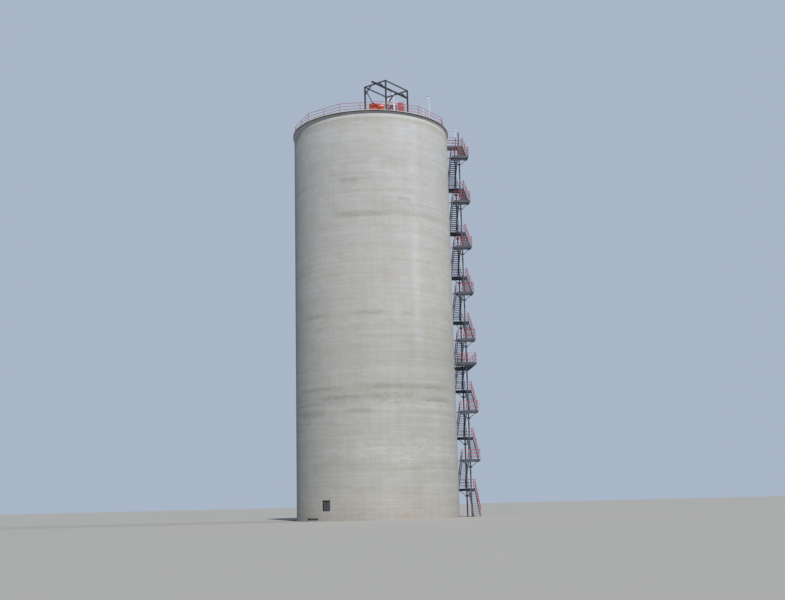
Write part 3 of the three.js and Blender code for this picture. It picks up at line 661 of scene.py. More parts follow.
# Stains: real height, depth on the model, first and last bearing in degrees from the front, and strength
WALL_STAINS = (
    (37.1, 0.16, -24, -8, 0.45),
    (34.9, 0.16, 17, 29, 0.42),
    (33.1, 0.22, -30, 16, 0.60),
    (33.2, 0.20, 14, 60, 0.32),
    (22.1, 0.18, -58, -33, 0.45),
    (22.1, 0.16, -16, 8, 0.48),
    (22.0, 0.14, 19, 27, 0.35),
    (17.9, 0.60, -80, 80, 0.12),
    (14.0, 0.15, -66, -20, 0.55),
    (14.1, 0.20, -16, 62, 0.62),
    (12.85, 0.26, -42, -8, 0.68),
    (12.95, 0.27, -12, 30, 0.60),
    (12.7, 0.17, 28, 64, 0.75),
    (12.5, 0.13, -72, -38, 0.55),
    (11.45, 0.24, -70, -36, 0.52),
    (11.5, 0.20, -22, 0, 0.48),
    (6.1, 0.40, -50, 10, 0.34),
    (6.1, 0.30, 30, 60, 0.28),
    (30.4, 0.20, 120, 175, 0.35),
    (21.6, 0.22, 165, 215, 0.40),
    (13.2, 0.26, 110, 240, 0.35),
)
# How far the edges of stains and pale bands are frayed, in times their depth
STAIN_FRINGE = 2.6
# Pale bands, given like the stains
WALL_PALE_BANDS = (
    (37.9, 0.30, -4, 40, 0.45),
    (12.1, 0.32, -20, 75, 0.50),
    (10.95, 0.16, -20, 75, 0.40),
    (6.95, 0.80, -26, 75, 0.50),
)
SLAB_LIGHT = rgb(0.50, 0.49, 0.46)
SLAB_DARK = rgb(0.40, 0.39, 0.36)
# Painted shade: a near-black strip on the lower part of the roof slab's edge stands in for the deep shade
# under its lip. Below it, the height of the plain concrete edge above that strip.
SLAB_PAINTED_SHADE = rgb(0.014, 0.016, 0.022)
SLAB_LIGHT_EDGE = 0.075
# Paints: fresh, worn and dusty colour, and roughness. The red paint with painted shade is a darker copy of
# the red, for the rails on the silo's side of the stair and the inner rail.
PAINTS = {
    "grey_steel": (rgb(0.046, 0.058, 0.082), rgb(0.085, 0.072, 0.065), rgb(0.085, 0.098, 0.12), 0.5),
    "black_steel": (rgb(0.012, 0.016, 0.028), rgb(0.05, 0.042, 0.038), rgb(0.024, 0.03, 0.045), 0.5),
    "red_paint": (rgb(0.40, 0.015, 0.024), rgb(0.22, 0.06, 0.045), rgb(0.44, 0.05, 0.062), 0.5),
    "red_paint_painted_shade": (rgb(0.13, 0.05, 0.07), rgb(0.10, 0.05, 0.05), rgb(0.17, 0.085, 0.11), 0.5),
    "fan_red_paint": (rgb(0.34, 0.055, 0.06), rgb(0.22, 0.06, 0.045), rgb(0.38, 0.11, 0.115), 0.5),
    "orange_paint": (rgb(0.60, 0.075, 0.035), rgb(0.34, 0.10, 0.06), rgb(0.62, 0.14, 0.09), 0.32),
    "white_paint": (rgb(0.80, 0.81, 0.82), rgb(0.50, 0.48, 0.45), rgb(0.68, 0.69, 0.70), 0.4),
    "beige_paint": (rgb(0.46, 0.39, 0.30), rgb(0.25, 0.19, 0.14), rgb(0.50, 0.45, 0.38), 0.5),
    "hood_sheet": (rgb(0.19, 0.112, 0.132), rgb(0.12, 0.065, 0.06), rgb(0.27, 0.18, 0.20), 0.45),
    "lamp_glass": (rgb(0.84, 0.87, 0.88), rgb(0.68, 0.69, 0.70), rgb(0.84, 0.87, 0.88), 0.15),
    "vent_blades": (rgb(0.088, 0.092, 0.096), rgb(0.085, 0.072, 0.065), rgb(0.13, 0.134, 0.138), 0.5),
}
ZINC_LIGHT = rgb(0.52, 0.54, 0.55)
ZINC_DARK = rgb(0.33, 0.35, 0.37)
ZINC_DULL = rgb(0.42, 0.43, 0.42)
ZINC_FLAKES = (55, 55, 55)


def wall_concrete():
    """Cast concrete: level bands from the rising shutters, blotches, streaks and stains."""
    paint = Paint("wall_concrete")
    place = paint.axes()
    height = place["Z"]
    bearing = paint.math("SUBTRACT", paint.math("ARCTAN2", place["Y"], place["X"]), FRONT)
    broken = paint.noise(0.35, (1, 1, 1), 5.0, 0.6)
    bands = paint.noise(0.2, (40, 40, 1), 4.0, 0.65)
    blotches = paint.noise(1.3, (1, 1, 0.5), 5.0, 0.6)
    patches = paint.noise(0.3, (1.8, 1.8, 0.5), 5.0, 0.65)
    streaks = paint.noise(0.16, (1, 1, 28), 4.0, 0.6)
    joint = lift_joint(paint, height)
    shade = paint.product(
        paint.tone(bands, *BAND_SHADES),
        fine_lines(paint, height),
        paint.tone(blotches, *BLOTCH_SHADES),
        paint.tone(patches, *PATCH_SHADES),
        paint.tone(streaks, *STREAK_SHADES),
        paint.spread(paint.product(joint, paint.spread(broken, 0.35, 0.65)), 0.0, 1.0, 1.0, LIFT_SHADE),
        side_shade(paint, height, bearing),
    )

    tint = paint.mix(paint.spread(blotches, 0.35, 0.65), WALL_WARM, WALL_COOL)
    colour = paint.mix(1.0, wall_tone(paint, height), tint, "MULTIPLY")
    colour = paint.mix(pale_streak(paint, height, bearing), colour, WALL_PALE)
    colour = paint.mix(1.0, colour, rim_soiling(paint, height, broken), "MULTIPLY")
    colour = marked(paint, colour, height, bearing, broken, patches)
    dirt = paint.spread(height, 0.03, 0.6, 0.4, 0.0)
    colour = paint.mix(paint.product(dirt, broken), colour, WALL_DIRT)
    colour = paint.mix(1.0, colour, paint.grey(shade), "MULTIPLY")

    pores = paint.noise(0.03, (1, 1, 1), 6.0, 0.7)
    relief = paint.math("ADD", pores, paint.product(joint, -1.5))
    relief = paint.math("ADD", relief, paint.product(bands, 3.0))
    paint.bump(relief, 0.0015, 0.6)
    return paint.finish(colour, paint.tone(broken, 0.86, 0.96), specular=0.05)


def lift_joint(paint, height):
    """The thin level joints between one lift of the shutters and the next, from 0 to 1."""
    wobble = paint.product(paint.noise(2.0), LIFT * LIFT_WOBBLE)
    phase = paint.math("FRACT", paint.math("DIVIDE", paint.math("ADD", height, wobble), LIFT))
    return paint.spread(paint.apart(phase, 0.5), 0.44, 0.5)


def fine_lines(paint, height):
    """The finest level lines that the shutters leave, stronger low on the wall."""
    lines = paint.noise(0.07, (60, 60, 1), 3.0, 0.6)
    contrast = paint.spread(height, *at_scale(LINES_FADE), WALL_LINES_LOW, WALL_LINES_HIGH)
    return paint.tone(lines, paint.math("SUBTRACT", 1.0, contrast), paint.math("ADD", 1.0, contrast))


def wall_tone(paint, height):
    """The plain tone of the concrete, which changes a little from the foot to the top."""
    low, colour = WALL_TONES[0]
    for high, tone in WALL_TONES[1:]:
        colour = paint.mix(paint.spread(height, low * SCALE, high * SCALE), colour, tone)
        low = high
    return colour


def side_shade(paint, height, bearing):
    """The lower wall is darker on the stair tower's side."""
    side = paint.spread(bearing, *in_radians(SHADE_START))
    back = paint.spread(bearing, *in_radians(SHADE_END), 1.0, 0.0)
    low = paint.spread(height, *at_scale(SHADE_FADE), 1.0, 0.0)
    return paint.spread(paint.product(side, back, low), 0.0, 1.0, 1.0, 1.0 - WALL_SIDE_SHADE)


def pale_streak(paint, height, bearing):
    """A pale upright streak, right of the front, that fades out above the foot."""
    across = paint.apart(bearing, math.radians(PALE_STREAK_BEARING))
    wide = paint.spread(across, *in_radians(PALE_STREAK_EDGE), PALE_STREAK_STRENGTH, 0.0)
    return paint.product(wide, paint.spread(height, *at_scale(PALE_STREAK_FADE)))


def rim_soiling(paint, height, broken):
    """A painted brighter strip close under the roof's edge, then a soiled zone that fades out downwards."""
    depth = paint.math("SUBTRACT", WALL_TOP * SCALE, height)
    bright_strip = paint.spread(depth, *BRIGHT_STRIP_END, 1.0, 0.0)
    ragged = paint.math("ADD", depth, paint.product(broken, SOILED_FRAY))
    fading = paint.spread(ragged, *SOILED_END, 1.0, 0.0)
    soiled = paint.product(paint.spread(depth, *SOILED_START), fading)
    return paint.mix(bright_strip, paint.mix(soiled, rgb(1, 1, 1), WALL_SOILED), WALL_BRIGHT_STRIP)


def marked(paint, colour, height, bearing, broken, patches):
    """The colour with the pale bands and then the stains on it."""
    runs = paint.noise(0.08, (1, 1, 8), 3.0, 0.6)
    ragged = paint.mix(0.65, paint.grey(broken), paint.grey(runs))
    uneven = paint.spread(patches, 0.38, 0.58, 0.3, 1.0)
    for marks, tone in ((WALL_PALE_BANDS, WALL_CHALKY), (WALL_STAINS, WALL_STAIN)):
        share = 0.0
        for mark in marks:
            share = paint.math("ADD", stain_share(paint, height, bearing, ragged, *mark), share)
        colour = paint.mix(paint.product(share, uneven), colour, tone)
    return colour


def stain_share(paint, height, bearing, ragged, level, depth, first, last, strength):
    """How much of a stain shows, from 0 up to its strength; ragged noise frays its edges."""
    frayed = paint.math("ADD", height, paint.product(ragged, depth * STAIN_FRINGE))
    upright = paint.apart(frayed, level * SCALE + depth * STAIN_FRINGE / 2)
    across = paint.apart(bearing, math.radians((first + last) / 2))
    reach = math.radians((last - first) / 2)
    tall = paint.spread(upright, depth * 0.3, depth, 1.0, 0.0)
    return paint.product(tall, paint.spread(across, reach * 0.6, reach * 1.1, strength, 0.0))


def slab_concrete():
    """Trowelled concrete, with a near-black strip of painted shade along the lower part of the roof slab's
    edge.
    """
    paint = Paint("slab_concrete")
    cloud = paint.noise(0.6, (1, 1, 1), 5.0, 0.6)
    grain = paint.noise(0.02, (1, 1, 1), 5.0, 0.7)
    colour = paint.mix(paint.tone(cloud), SLAB_LIGHT, SLAB_DARK)
    place = paint.axes()
    x, y = place["X"], place["Y"]
    square = paint.math("ADD", paint.product(x, x), paint.product(y, y))
    outside = paint.math("GREATER_THAN", square, ((ROOF_RADIUS - 0.01) * SCALE) ** 2)
    below = paint.math("LESS_THAN", place["Z"], (ROOF_TOP - SLAB_LIGHT_EDGE) * SCALE)
    # Painted shade: the edge face below the plain top edge is made near-black
    colour = paint.mix(paint.product(outside, below), colour, SLAB_PAINTED_SHADE)
    paint.bump(grain, 0.001, 0.5)
    return paint.finish(colour, 0.88, specular=0.1)


def painted_steel(name):
    """Brushed or sprayed paint with faded patches, dust on it and a few worn places."""
    fresh, worn, dusty, roughness = PAINTS[name]
    paint = Paint(name)
    faded = paint.noise(0.25, (1, 1, 1), 4.0, 0.6)
    runs = paint.noise(0.05, (1, 1, 6), 4.0, 0.65)
    chips = paint.noise(0.012, (1, 1, 1), 6.0, 0.75)
    tint = paint.mix(paint.tone(faded), fresh, dusty)
    tint = paint.mix(paint.spread(runs, 0.55, 0.8, 0.0, 0.45), tint, worn)
    tint = paint.mix(paint.spread(chips, 0.68, 0.74, 0.0, 0.8), tint, worn)
    paint.bump(chips, 0.0004, 0.35)
    return paint.finish(tint, paint.tone(faded, roughness - 0.07, roughness + 0.12))


def galvanised_steel():
    """Zinc with its spangle, dulled by the weather."""
    paint = Paint("galvanised")
    spangle = paint.node("ShaderNodeTexVoronoi", Vector=paint.stretched(ZINC_FLAKES), Scale=1.0)
    flake = paint.node("ShaderNodeSeparateColor", Color=spangle.outputs["Color"]).outputs["Red"]
    cloud = paint.noise(0.2, (1, 1, 1), 5.0, 0.6)
    tint = paint.mix(paint.spread(flake, 0.0, 1.0, 0.0, 0.55), ZINC_LIGHT, ZINC_DARK)
    tint = paint.mix(paint.spread(cloud, 0.45, 0.75, 0.0, 0.5), tint, ZINC_DULL)
    paint.bump(cloud, 0.0008, 0.2)
    return paint.finish(tint, paint.spread(flake, 0.0, 1.0, 0.38, 0.55), metallic=0.55)


def floor_finish():
    paint = Paint("studio_floor")
    cloud = paint.noise(6.0, (1, 1, 1), 3.0)
    colour = paint.mix(paint.tone(cloud, 0.0, 0.25), FLOOR_COLOUR, FLOOR_SHADE)
    return paint.finish(colour, 0.9, specular=0.1)


# Silo shell

def on_ring(radius, angle, z):
    return Vector((radius * math.cos(angle), radius * math.sin(angle), z))


def wall_columns():
    """Outer and inner angles of the wall's upright lines; the two sides of a hole stay parallel."""
    step = 2 * math.pi / WALL_COLUMNS
    edges = []
    for middle, width, _, _ in HOLES:
        for half in (-width / 2, width / 2):
            outer = middle + math.asin(half / WALL_RADIUS)
            inner = middle + math.asin(half / (WALL_RADIUS - WALL_THICKNESS))
            edges.append((outer, inner))
    even = [column * step - math.pi for column in range(WALL_COLUMNS)]
    kept = [angle for angle in even if all(abs(angle - outer) > step / 2 for outer, _ in edges)]
    return sorted([(angle, angle) for angle in kept] + edges)


def silo_wall(finishes):
    """The round wall with its two holes cut through, as one closed mesh."""
    columns = wall_columns()
    heights = sorted({0.0, WALL_TOP}.union(*({bottom, top} for _, _, bottom, top in HOLES)))
    count, rows = len(columns), len(heights)
    points = []
    for side, radius in enumerate((WALL_RADIUS, WALL_RADIUS - WALL_THICKNESS)):
        for angles in columns:
            points.extend(on_ring(radius, angles[side], z) for z in heights)

    def corner(side, column, row):
        return (side * count + column % count) * rows + row

    def solid(column, row):
        if not 0 <= row < rows - 1:
            return False
        angle = columns[column % count][0] + TINY
        z = heights[row] + TINY
        for middle, width, bottom, top in HOLES:
            reach = math.asin(width / 2 / WALL_RADIUS)
            if middle - reach <= angle < middle + reach and bottom <= z < top:
                return False
        return True

    faces = []
    for column in range(count):
        for row in range(rows - 1):
            if not solid(column, row):
                continue
            around = [(column, row), (column + 1, row), (column + 1, row + 1), (column, row + 1)]
            faces.append([corner(0, *place) for place in around])
            faces.append([corner(1, *place) for place in reversed(around)])
            beyond = [(column, row - 1), (column + 1, row), (column, row + 1), (column - 1, row)]
            for side, neighbour in enumerate(beyond):
                if not solid(*neighbour):
                    first, second = around[side], around[(side + 1) % 4]
                    ends = ((0, first), (1, first), (1, second), (0, second))
                    faces.append([corner(deep, *place) for deep, place in ends])
    shape = Shape()
    shape.add(points, faces)
    nodes = [f"wall_segment_{segment + 1}" for segment in range(WALL_SEGMENTS)]
    shape.piece("silo_wall", finishes, nodes, "wall_concrete")


def roof_slab(finishes):
    """The roof disc, its top and bottom edges a little rounded."""
    edge, rim, top = ROOF_EDGE_ROUNDING, ROOF_RADIUS, ROOF_THICKNESS
    profile = [(0, 0), (0, rim - edge), (edge, rim), (top - edge, rim), (top, rim - edge), (top, 0)]
    shape = Shape()
    lathe(shape, (0, 0, WALL_TOP), UP, profile, WALL_COLUMNS)
    shape.piece("silo_roof", finishes, ["roof_slab"], "slab_concrete")


def wall_vent(finishes):
    """A frame with upright blades in front of a closed back, and bolts round the frame."""
    shape = Shape()
    half = VENT_WIDTH / 2 - SEAT
    inside = half - VENT_FRAME
    bottom = VENT_BOTTOM + SEAT
    top = VENT_BOTTOM + VENT_HEIGHT - SEAT
    front = WALL_RADIUS - VENT_RECESS
    back = front - VENT_DEPTH + VENT_BACK
    gap = 2 * inside / (2 * VENT_BARS + 1)
    turned = Matrix.Rotation(VENT_ANGLE, 4, "Z")

    def panel(near, far, low, high, foot, head, paint=0):
        box(shape, (near, low, foot), (far, high, head), paint, turned)

    panel(back - VENT_BACK, back, -half, half, bottom, top)
    panel(back, front, -half, -inside, bottom, top)
    panel(back, front, inside, half, bottom, top)
    panel(back, front, -inside, inside, bottom, bottom + VENT_FRAME)
    panel(back, front, -inside, inside, top - VENT_FRAME, top)
    for blade in range(VENT_BARS):
        low = -inside + gap * (2 * blade + 1)
        near, far = front - BLADE_DEPTH, front - BLADE_RECESS
        panel(near, far, low, low + gap, bottom + VENT_FRAME, top - VENT_FRAME, SECOND)
    for side in (-1, 1):
        for share in VENT_BOLT_SHARES:
            place = Vector((front, side * (half - VENT_FRAME / 2), bottom + (top - bottom) * share))
            bolt(shape, turned @ place, turned @ RIGHT)
    shape.piece("wall_vent", finishes, ["vent_grille"], "black_steel")


# Stair levels, counted in flights down from the roof bridge

def level_after(flights):
    upper = min(flights, UPPER_FLIGHTS)
    return TOP_LANDING - upper * UPPER_DROP - (flights - upper) * LOWER_DROP


def risers_below(flights):
    return UPPER_RISERS if flights < UPPER_FLIGHTS else LOWER_RISERS


def riser_height(flights):
    return (level_after(flights) - level_after(flights + 1)) / risers_below(flights)


# Guards

def raised(point, height):
    return Vector((point[0], point[1], point[2] + height))


def rails(shape, path, heights=GUARD_RAILS, paint=0):
    """Round rails that follow a path of floor points, each corner bent."""
    for height in heights:
        radius = RAIL_RADIUS if height == RAIL_TOP else RAIL_RADIUS * LOWER_RAIL_SHARE
        line = [raised(point, height) for point in path]
        pipe(shape, rounded(line, RAIL_BEND), radius, paint=paint)


def post(shape, point, towards, width=POST_PLATE, drop=POST_DROP, paint=0):
    """An upright tube up to the top rail, with the bolted plate that fixes it from the side."""
    x, y, z = point
    low = max(z - drop, 0)
    pipe(shape, [(x, y, low), (x, y, z + RAIL_TOP)], POST_RADIUS, paint=paint)
    foot = Vector((x, y, low + PLATE_MARGIN)) + towards * (GUARD_OFFSET - PLATE_THICKNESS / 2 - SEAT)
    height = z - low - 2 * PLATE_MARGIN
    bar(shape, foot, raised(foot, height), flat_section(PLATE_THICKNESS, width), towards, paint)
    across = Vector((-towards.y, towards.x, 0)) * width
    for column in (-0.36, 0.36) if width > NARROW_PLATE else (0,):
        for share in (0.25, 0.75):
            place = raised(foot, height * share) + across * column - towards * PLATE_THICKNESS / 2
            bolt(shape, place, -towards)


def standing_post(shape, foot):
    """A post on a base plate with four bolts."""
    base_plate(shape, foot, *POST_BASE)
    pipe(shape, [raised(foot, PLATE_THICKNESS / 2), raised(foot, RAIL_TOP)], POST_RADIUS)


def roof_guard_path():
    """Corners of the guard round the rim, which is open where the stair's bridge comes in."""
    between = ROOF_GUARDS * PANELS_A_NODE - 1
    angles = [GATE_END] + [FIRST_PANEL_CORNER + corner * PANEL_ANGLE for corner in range(between)]
    angles.append(GATE_START + 2 * math.pi)
    return [on_ring(ROOF_GUARD_RADIUS, angle, ROOF_TOP) for angle in angles]


def roof_guards(finishes):
    path = roof_guard_path()
    for node in range(ROOF_GUARDS):
        shape = Shape()
        corners = path[node * PANELS_A_NODE:(node + 1) * PANELS_A_NODE + 1]
        last = node == ROOF_GUARDS - 1
        if not last:
            corners[-1] = corners[-1].lerp(corners[-2], POST_RADIUS * 2 / (corners[-1] - corners[-2]).length)
        rails(shape, corners)
        for start, end in zip(corners, corners[1:]):
            standing_post(shape, start)
            standing_post(shape, start.lerp(end, 0.5))
        if last:
            standing_post(shape, corners[-1])
        shape.piece(f"roof_rails_{node + 1}", finishes, [f"roof_guard_{node + 1}"], "red_paint")


def slope_ends(x, flights, heading):
    """Both ends of a flight's nosing line at X position x."""
    start, end = (NEAR_EDGE, FAR_EDGE) if heading > 0 else (FAR_EDGE, NEAR_EDGE)
    foot = level_after(flights + 1) + riser_height(flights)
    return Vector((x, start, level_after(flights))), Vector((x, end, foot))


def landing_guard(shape, level, sides):
    """Guard along the outer end and the named sides (-1 left, 1 right) of a far landing."""
    end = FAR_EDGE + LANDING_DEPTH + GUARD_OFFSET
    path = [Vector((GUARD_LEFT, end, level)), Vector((GUARD_RIGHT, end, level))]
    for corner in path:
        post(shape, corner, NEAR, NARROW_PLATE)
    post(shape, path[0].lerp(path[1], 0.5), NEAR)
    if -1 in sides:
        path.insert(0, Vector((GUARD_LEFT, FAR_EDGE, level)))
    if 1 in sides:
        path.append(Vector((GUARD_RIGHT, FAR_EDGE, level)))
    rails(shape, path)


def left_guard(shape, flights):
    """Guard of a near landing and of the flight that leaves it, on the silo's side."""
    level = level_after(flights)
    end = NEAR_EDGE - LANDING_DEPTH - GUARD_OFFSET
    head, foot = slope_ends(GUARD_LEFT, flights, 1)
    start = Vector((GUARD_RIGHT, NEAR_EDGE - POST_RADIUS, level))
    corners = [Vector((GUARD_RIGHT, end, level)), Vector((GUARD_LEFT, end, level))]
    rails(shape, [start, *corners])
    # The flight's rails and posts take the third finish, the red paint with painted shade
    rails(shape, [corners[1], head, foot], paint=SECOND)
    post(shape, start, LEFT, NARROW_PLATE)
    for corner in corners:
        post(shape, corner, FAR, NARROW_PLATE)
    post(shape, corners[0].lerp(corners[1], 0.5), FAR)
    for point, drop in ((head, POST_DROP), (head.lerp(foot, 0.5), POST_DROP), (foot, 2 * POST_DROP)):
        post(shape, point, RIGHT, drop=drop, paint=SECOND)


def right_guard(shape, flights):
    """The side away from the silo, from a far landing down its flight or along the level walkway."""
    head, foot = slope_ends(GUARD_RIGHT, flights, -1)
    if flights == WALKWAY_LEVEL:
        foot = Vector((GUARD_RIGHT, NEAR_EDGE, head.z))
    foot = foot.lerp(head, 2 * POST_RADIUS / FLIGHT_RUN)
    rails(shape, [head, foot])
    post(shape, head, LEFT)
    post(shape, head.lerp(foot, 0.5), LEFT)
    post(shape, foot, LEFT, NARROW_PLATE)


def bridge_end(y):
    """Where a bridge guard ends: a little inside the roof's edge."""
    return Vector((math.sqrt(ROOF_RADIUS ** 2 - y ** 2) - BRIDGE_POST_INSET, y, TOP_LANDING))


def far_bridge_guard(shape):
    y = FAR_EDGE + LANDING_DEPTH + GUARD_OFFSET
    end = bridge_end(y)
    rails(shape, [Vector((GUARD_LEFT, y, TOP_LANDING)), end])
    post(shape, end, NEAR, drop=BRIDGE_RISE)


def stair_guards(finishes):
    for run, far in enumerate(FAR_LEVELS):
        shape = Shape()
        landing_guard(shape, level_after(far), (-1, 1) if run else (1,))
        if run:
            left_guard(shape, NEAR_LEVELS[run - 1])
        else:
            far_bridge_guard(shape)
        right_guard(shape, far)
        shape.piece(f"stair_rails_{run + 1}", finishes, [f"stair_guard_{run + 1}"], "red_paint")


def inner_ends(x, flights, heading):
    start, end = slope_ends(x, flights, heading)
    share = INNER_INSET / FLIGHT_RUN
    return start.lerp(end, share), start.lerp(end, 1 - share)


def inner_handrails(finishes):
    """The rail that winds round the two columns, in an upper and a lower piece."""
    reach = TOWER_HALF_WIDTH - FLIGHT_WIDTH - GUARD_OFFSET
    left, right = TOWER_X - reach, TOWER_X + reach
    shapes = {"upper": Shape(), "lower": Shape()}
    paths = {"upper": [], "lower": []}
    near_bridge_guard(shapes["upper"], right)
    for run, far in enumerate(FAR_LEVELS):
        part = "upper" if far <= WALKWAY_LEVEL else "lower"
        shape, path = shapes[part], paths[part]
        if run:
            path.extend(inner_run(shape, left, NEAR_LEVELS[run - 1], 1))
            inner_turn(shape, path, right, far)
        if far == WALKWAY_LEVEL:
            path.append(Vector((right, NEAR_EDGE + INNER_INSET, level_after(far))))
            post(shape, path[-1], RIGHT)
            continue
        path.extend(inner_run(shape, right, far, -1))
        if run < len(NEAR_LEVELS):
            inner_turn(shape, path, left, NEAR_LEVELS[run])
    for part, shape in shapes.items():
        rails(shape, paths[part], (RAIL_TOP,))
        shape.piece(f"inner_rail_{part}", finishes, [f"inner_handrail_{part}"], "red_paint")


def inner_run(shape, x, flights, heading):
    head, foot = inner_ends(x, flights, heading)
    for point in (head, head.lerp(foot, 0.5), foot):
        post(shape, point, LEFT if heading > 0 else RIGHT)
    return [head, foot]


def inner_turn(shape, path, x, flights):
    """The link from the foot of one run across to the upright at the head of the next."""
    foot = path[-1]
    path.append(Vector((x, foot.y, foot.z)))
    pipe(shape, [(x, foot.y, level_after(flights)), (x, foot.y, foot.z + RAIL_TOP)], POST_RADIUS)


def near_bridge_guard(shape, inner_x):
    """Rails along the open edge of the top landing and the near side of the bridge."""
    y = FAR_EDGE - GUARD_OFFSET
    head, _ = inner_ends(inner_x, 0, -1)
    corner = Vector((inner_x, y, TOP_LANDING))
    end = bridge_end(y)
    rails(shape, [head, corner], (RAIL_TOP,), SECOND)
    rails(shape, [corner, end], paint=SECOND)
    post(shape, corner, FAR, paint=SECOND)
    post(shape, Vector((GUARD_LEFT, y, TOP_LANDING)), FAR, paint=SECOND)
    post(shape, end, FAR, drop=BRIDGE_RISE, paint=SECOND)


# Stair flights and landings

def stringer(shape, x, toes, start_y, heading, top, fall):
    """A sloping channel: its web faces the treads and its flanges reach out to the side of toes."""
    run = FLIGHT_RUN - 2 * SEAT
    web = x + STRINGER_WIDTH - WEB if toes < 0 else x
    bands = (
        (STRINGER_ABOVE, -STRINGER_BELOW, web, WEB),
        (STRINGER_ABOVE, STRINGER_ABOVE - FLANGE, x, STRINGER_WIDTH),
        (FLANGE - STRINGER_BELOW, -STRINGER_BELOW, x, STRINGER_WIDTH),
    )
    for above, below, side, width in bands:
        outline = [(0, top + above), (run, top + above - fall), (run, top + below - fall), (0, top + below)]
        face = [(side, start_y + heading * along, z) for along, z in clipped_at_ground(outline)]
        prism(shape, face, (width, 0, 0))


def clipped_at_ground(outline):
    """The part of a side-view outline of (along, height) points that lies above the ground."""
    points = []
    for (along, z), (next_along, next_z) in zip(outline, outline[1:] + outline[:1]):
        if z >= 0:
            points.append((along, z))
        if (z < 0) != (next_z < 0):
            share = z / (z - next_z)
            points.append((along + (next_along - along) * share, 0.0))
    return points


def tread(shape, left, right, back, nose, z):
    """A grating tread: bars from end plate to end plate, thin rods across them and a nosing angle."""
    low_y, high_y = sorted((back, nose))
    under = z - TREAD_DEPTH
    grating(shape, (left + WEB, low_y, under), (right - WEB, high_y, z), 0)
    lip = nose + math.copysign(TREAD_LIP, back - nose)
    box(shape, (left, min(nose, lip), z - 0.004), (right, max(nose, lip), z + 0.002))
    for x, inwards in ((left, RIGHT), (right, LEFT)):
        inner = x + inwards.x * TREAD_PLATE
        box(shape, (min(x, inner), low_y, under - 0.02), (max(x, inner), high_y, z))
        for share in (0.25, 0.75):
            place = (inner, low_y + (high_y - low_y) * share, under + 0.005)
            bolt(shape, place, inwards, *TREAD_BOLT)


def flight(finishes, flights, heading, left):
    """One flight of the stair from a landing's edge down to the next, heading +Y or -Y."""
    shape = Shape()
    top = level_after(flights)
    steps = risers_below(flights) - 1
    rise = riser_height(flights)
    going = (FLIGHT_RUN - 2 * SEAT) / steps
    right = left + FLIGHT_WIDTH
    start_y = NEAR_EDGE + SEAT if heading > 0 else FAR_EDGE - SEAT
    for step in range(1, steps + 1):
        back = start_y + heading * going * (step - 1)
        nose = start_y + heading * min(going * step + TREAD_NOSE, FLIGHT_RUN - 2 * SEAT)
        tread(shape, left + STRINGER_WIDTH, right - STRINGER_WIDTH, back, nose, top - step * rise)
    stringer(shape, left, -1, start_y, heading, top, rise * steps)
    stringer(shape, right - STRINGER_WIDTH, 1, start_y, heading, top, rise * steps)
    shape.piece(f"stair_flight_{flights + 1}", finishes, [f"flight_{flights + 1}"], "grey_steel")


def stair_flights(finishes):
    for level in NEAR_LEVELS:
        flight(finishes, level, 1, TOWER_LEFT)
    for level in FAR_LEVELS:
        if level != WALKWAY_LEVEL:
            flight(finishes, level, -1, TOWER_RIGHT - FLIGHT_WIDTH)


def deck(shape, low, high, level, bars_along=1, depth=CHANNEL_DEPTH):
    """A frame of channels, flanges inwards, with joists and open flooring on it."""
    (x0, y0), (x1, y1) = low, high
    section = channel_section(CHANNEL_FLANGE, depth, WEB, FLANGE)
    z = level - depth / 2
    for x, inwards in ((x0, RIGHT), (x1, LEFT)):
        bar(shape, (x, y0, z), (x, y1, z), section, inwards)
    for y, inwards in ((y0, FAR), (y1, NEAR)):
        bar(shape, (x0 + WEB, y, z), (x1 - WEB, y, z), section, inwards)
    grating(shape, (x0 + WEB, y0 + WEB, level - FLOORING), (x1 - WEB, y1 - WEB, level), bars_along)
    across = 1 - bars_along
    length = high[bars_along] - low[bars_along]
    spans = max(round(length / JOIST_PITCH), 2)
    for joist in range(1, spans):
        start = [low[bars_along] + length * joist / spans] * 2 + [level - FLOORING - JOIST_SIDE / 2]
        end = list(start)
        start[across], end[across] = low[across] + WEB, high[across] - WEB
        bar(shape, start, end, angle_section(JOIST_SIDE, 0.007))


def tower_column(shape, y, top):
    """An H column with a stiffened base plate and bolted splices."""
    section = beam_section(COLUMN_SIDE, COLUMN_SIDE, WEB, FLANGE)
    bar(shape, (TOWER_X, y, 0), (TOWER_X, y, top), section, RIGHT)
    base_plate(shape, (TOWER_X, y, 0), *COLUMN_BASE)
    for u in (-1, 1):
        for v in (-1, 1):
            outline = [(TOWER_X + u * GUSSET_PLACE, y + v * along, z) for along, z in GUSSET]
            prism(shape, outline, (u * WEB, 0, 0))
    for v in (-1, 1):
        face = y + v * COLUMN_SIDE / 2
        for level in SPLICE_LEVELS:
            z = level_after(level) - UPPER_DROP / 2
            block(shape, (TOWER_X, face + v * 0.005), (0.06, 0.005), z - 0.2, z + 0.2)
            for u in (-0.035, 0.035):
                for height in (-0.15, -0.05, 0.05, 0.15):
                    bolt(shape, (TOWER_X + u, face + v * 0.01, z + height), (0, v, 0))


def knee_braces(shape, edge_y, outwards, level):
    """Two angle braces from the column out to the sides of a landing, each on its gusset plates."""
    y = edge_y + outwards * (BRACE_SIDE / 2 + SEAT)
    under = level - CHANNEL_DEPTH / 2
    for side in (-1, 1):
        foot = Vector((TOWER_X, y, under - KNEE_DROP))
        head = Vector((TOWER_X + side * (TOWER_HALF_WIDTH - CHANNEL_FLANGE), y, under))
        bar(shape, foot, head, angle_section(BRACE_SIDE), (0, outwards, 0))
        for share, towards in ((0.12, 1), (0.88, -1)):
            x, _, z = foot.lerp(head, share)
            block(shape, (x, y - 0.001), (KNEE_PLATE, 0.005), z - KNEE_PLATE, z + KNEE_PLATE)
            for place in (-0.03, 0.05):
                spot = foot.lerp(head, share) + (head - foot).normalized() * place * towards
                bolt(shape, (spot.x, y + outwards * 0.012, spot.z), (0, outwards, 0))


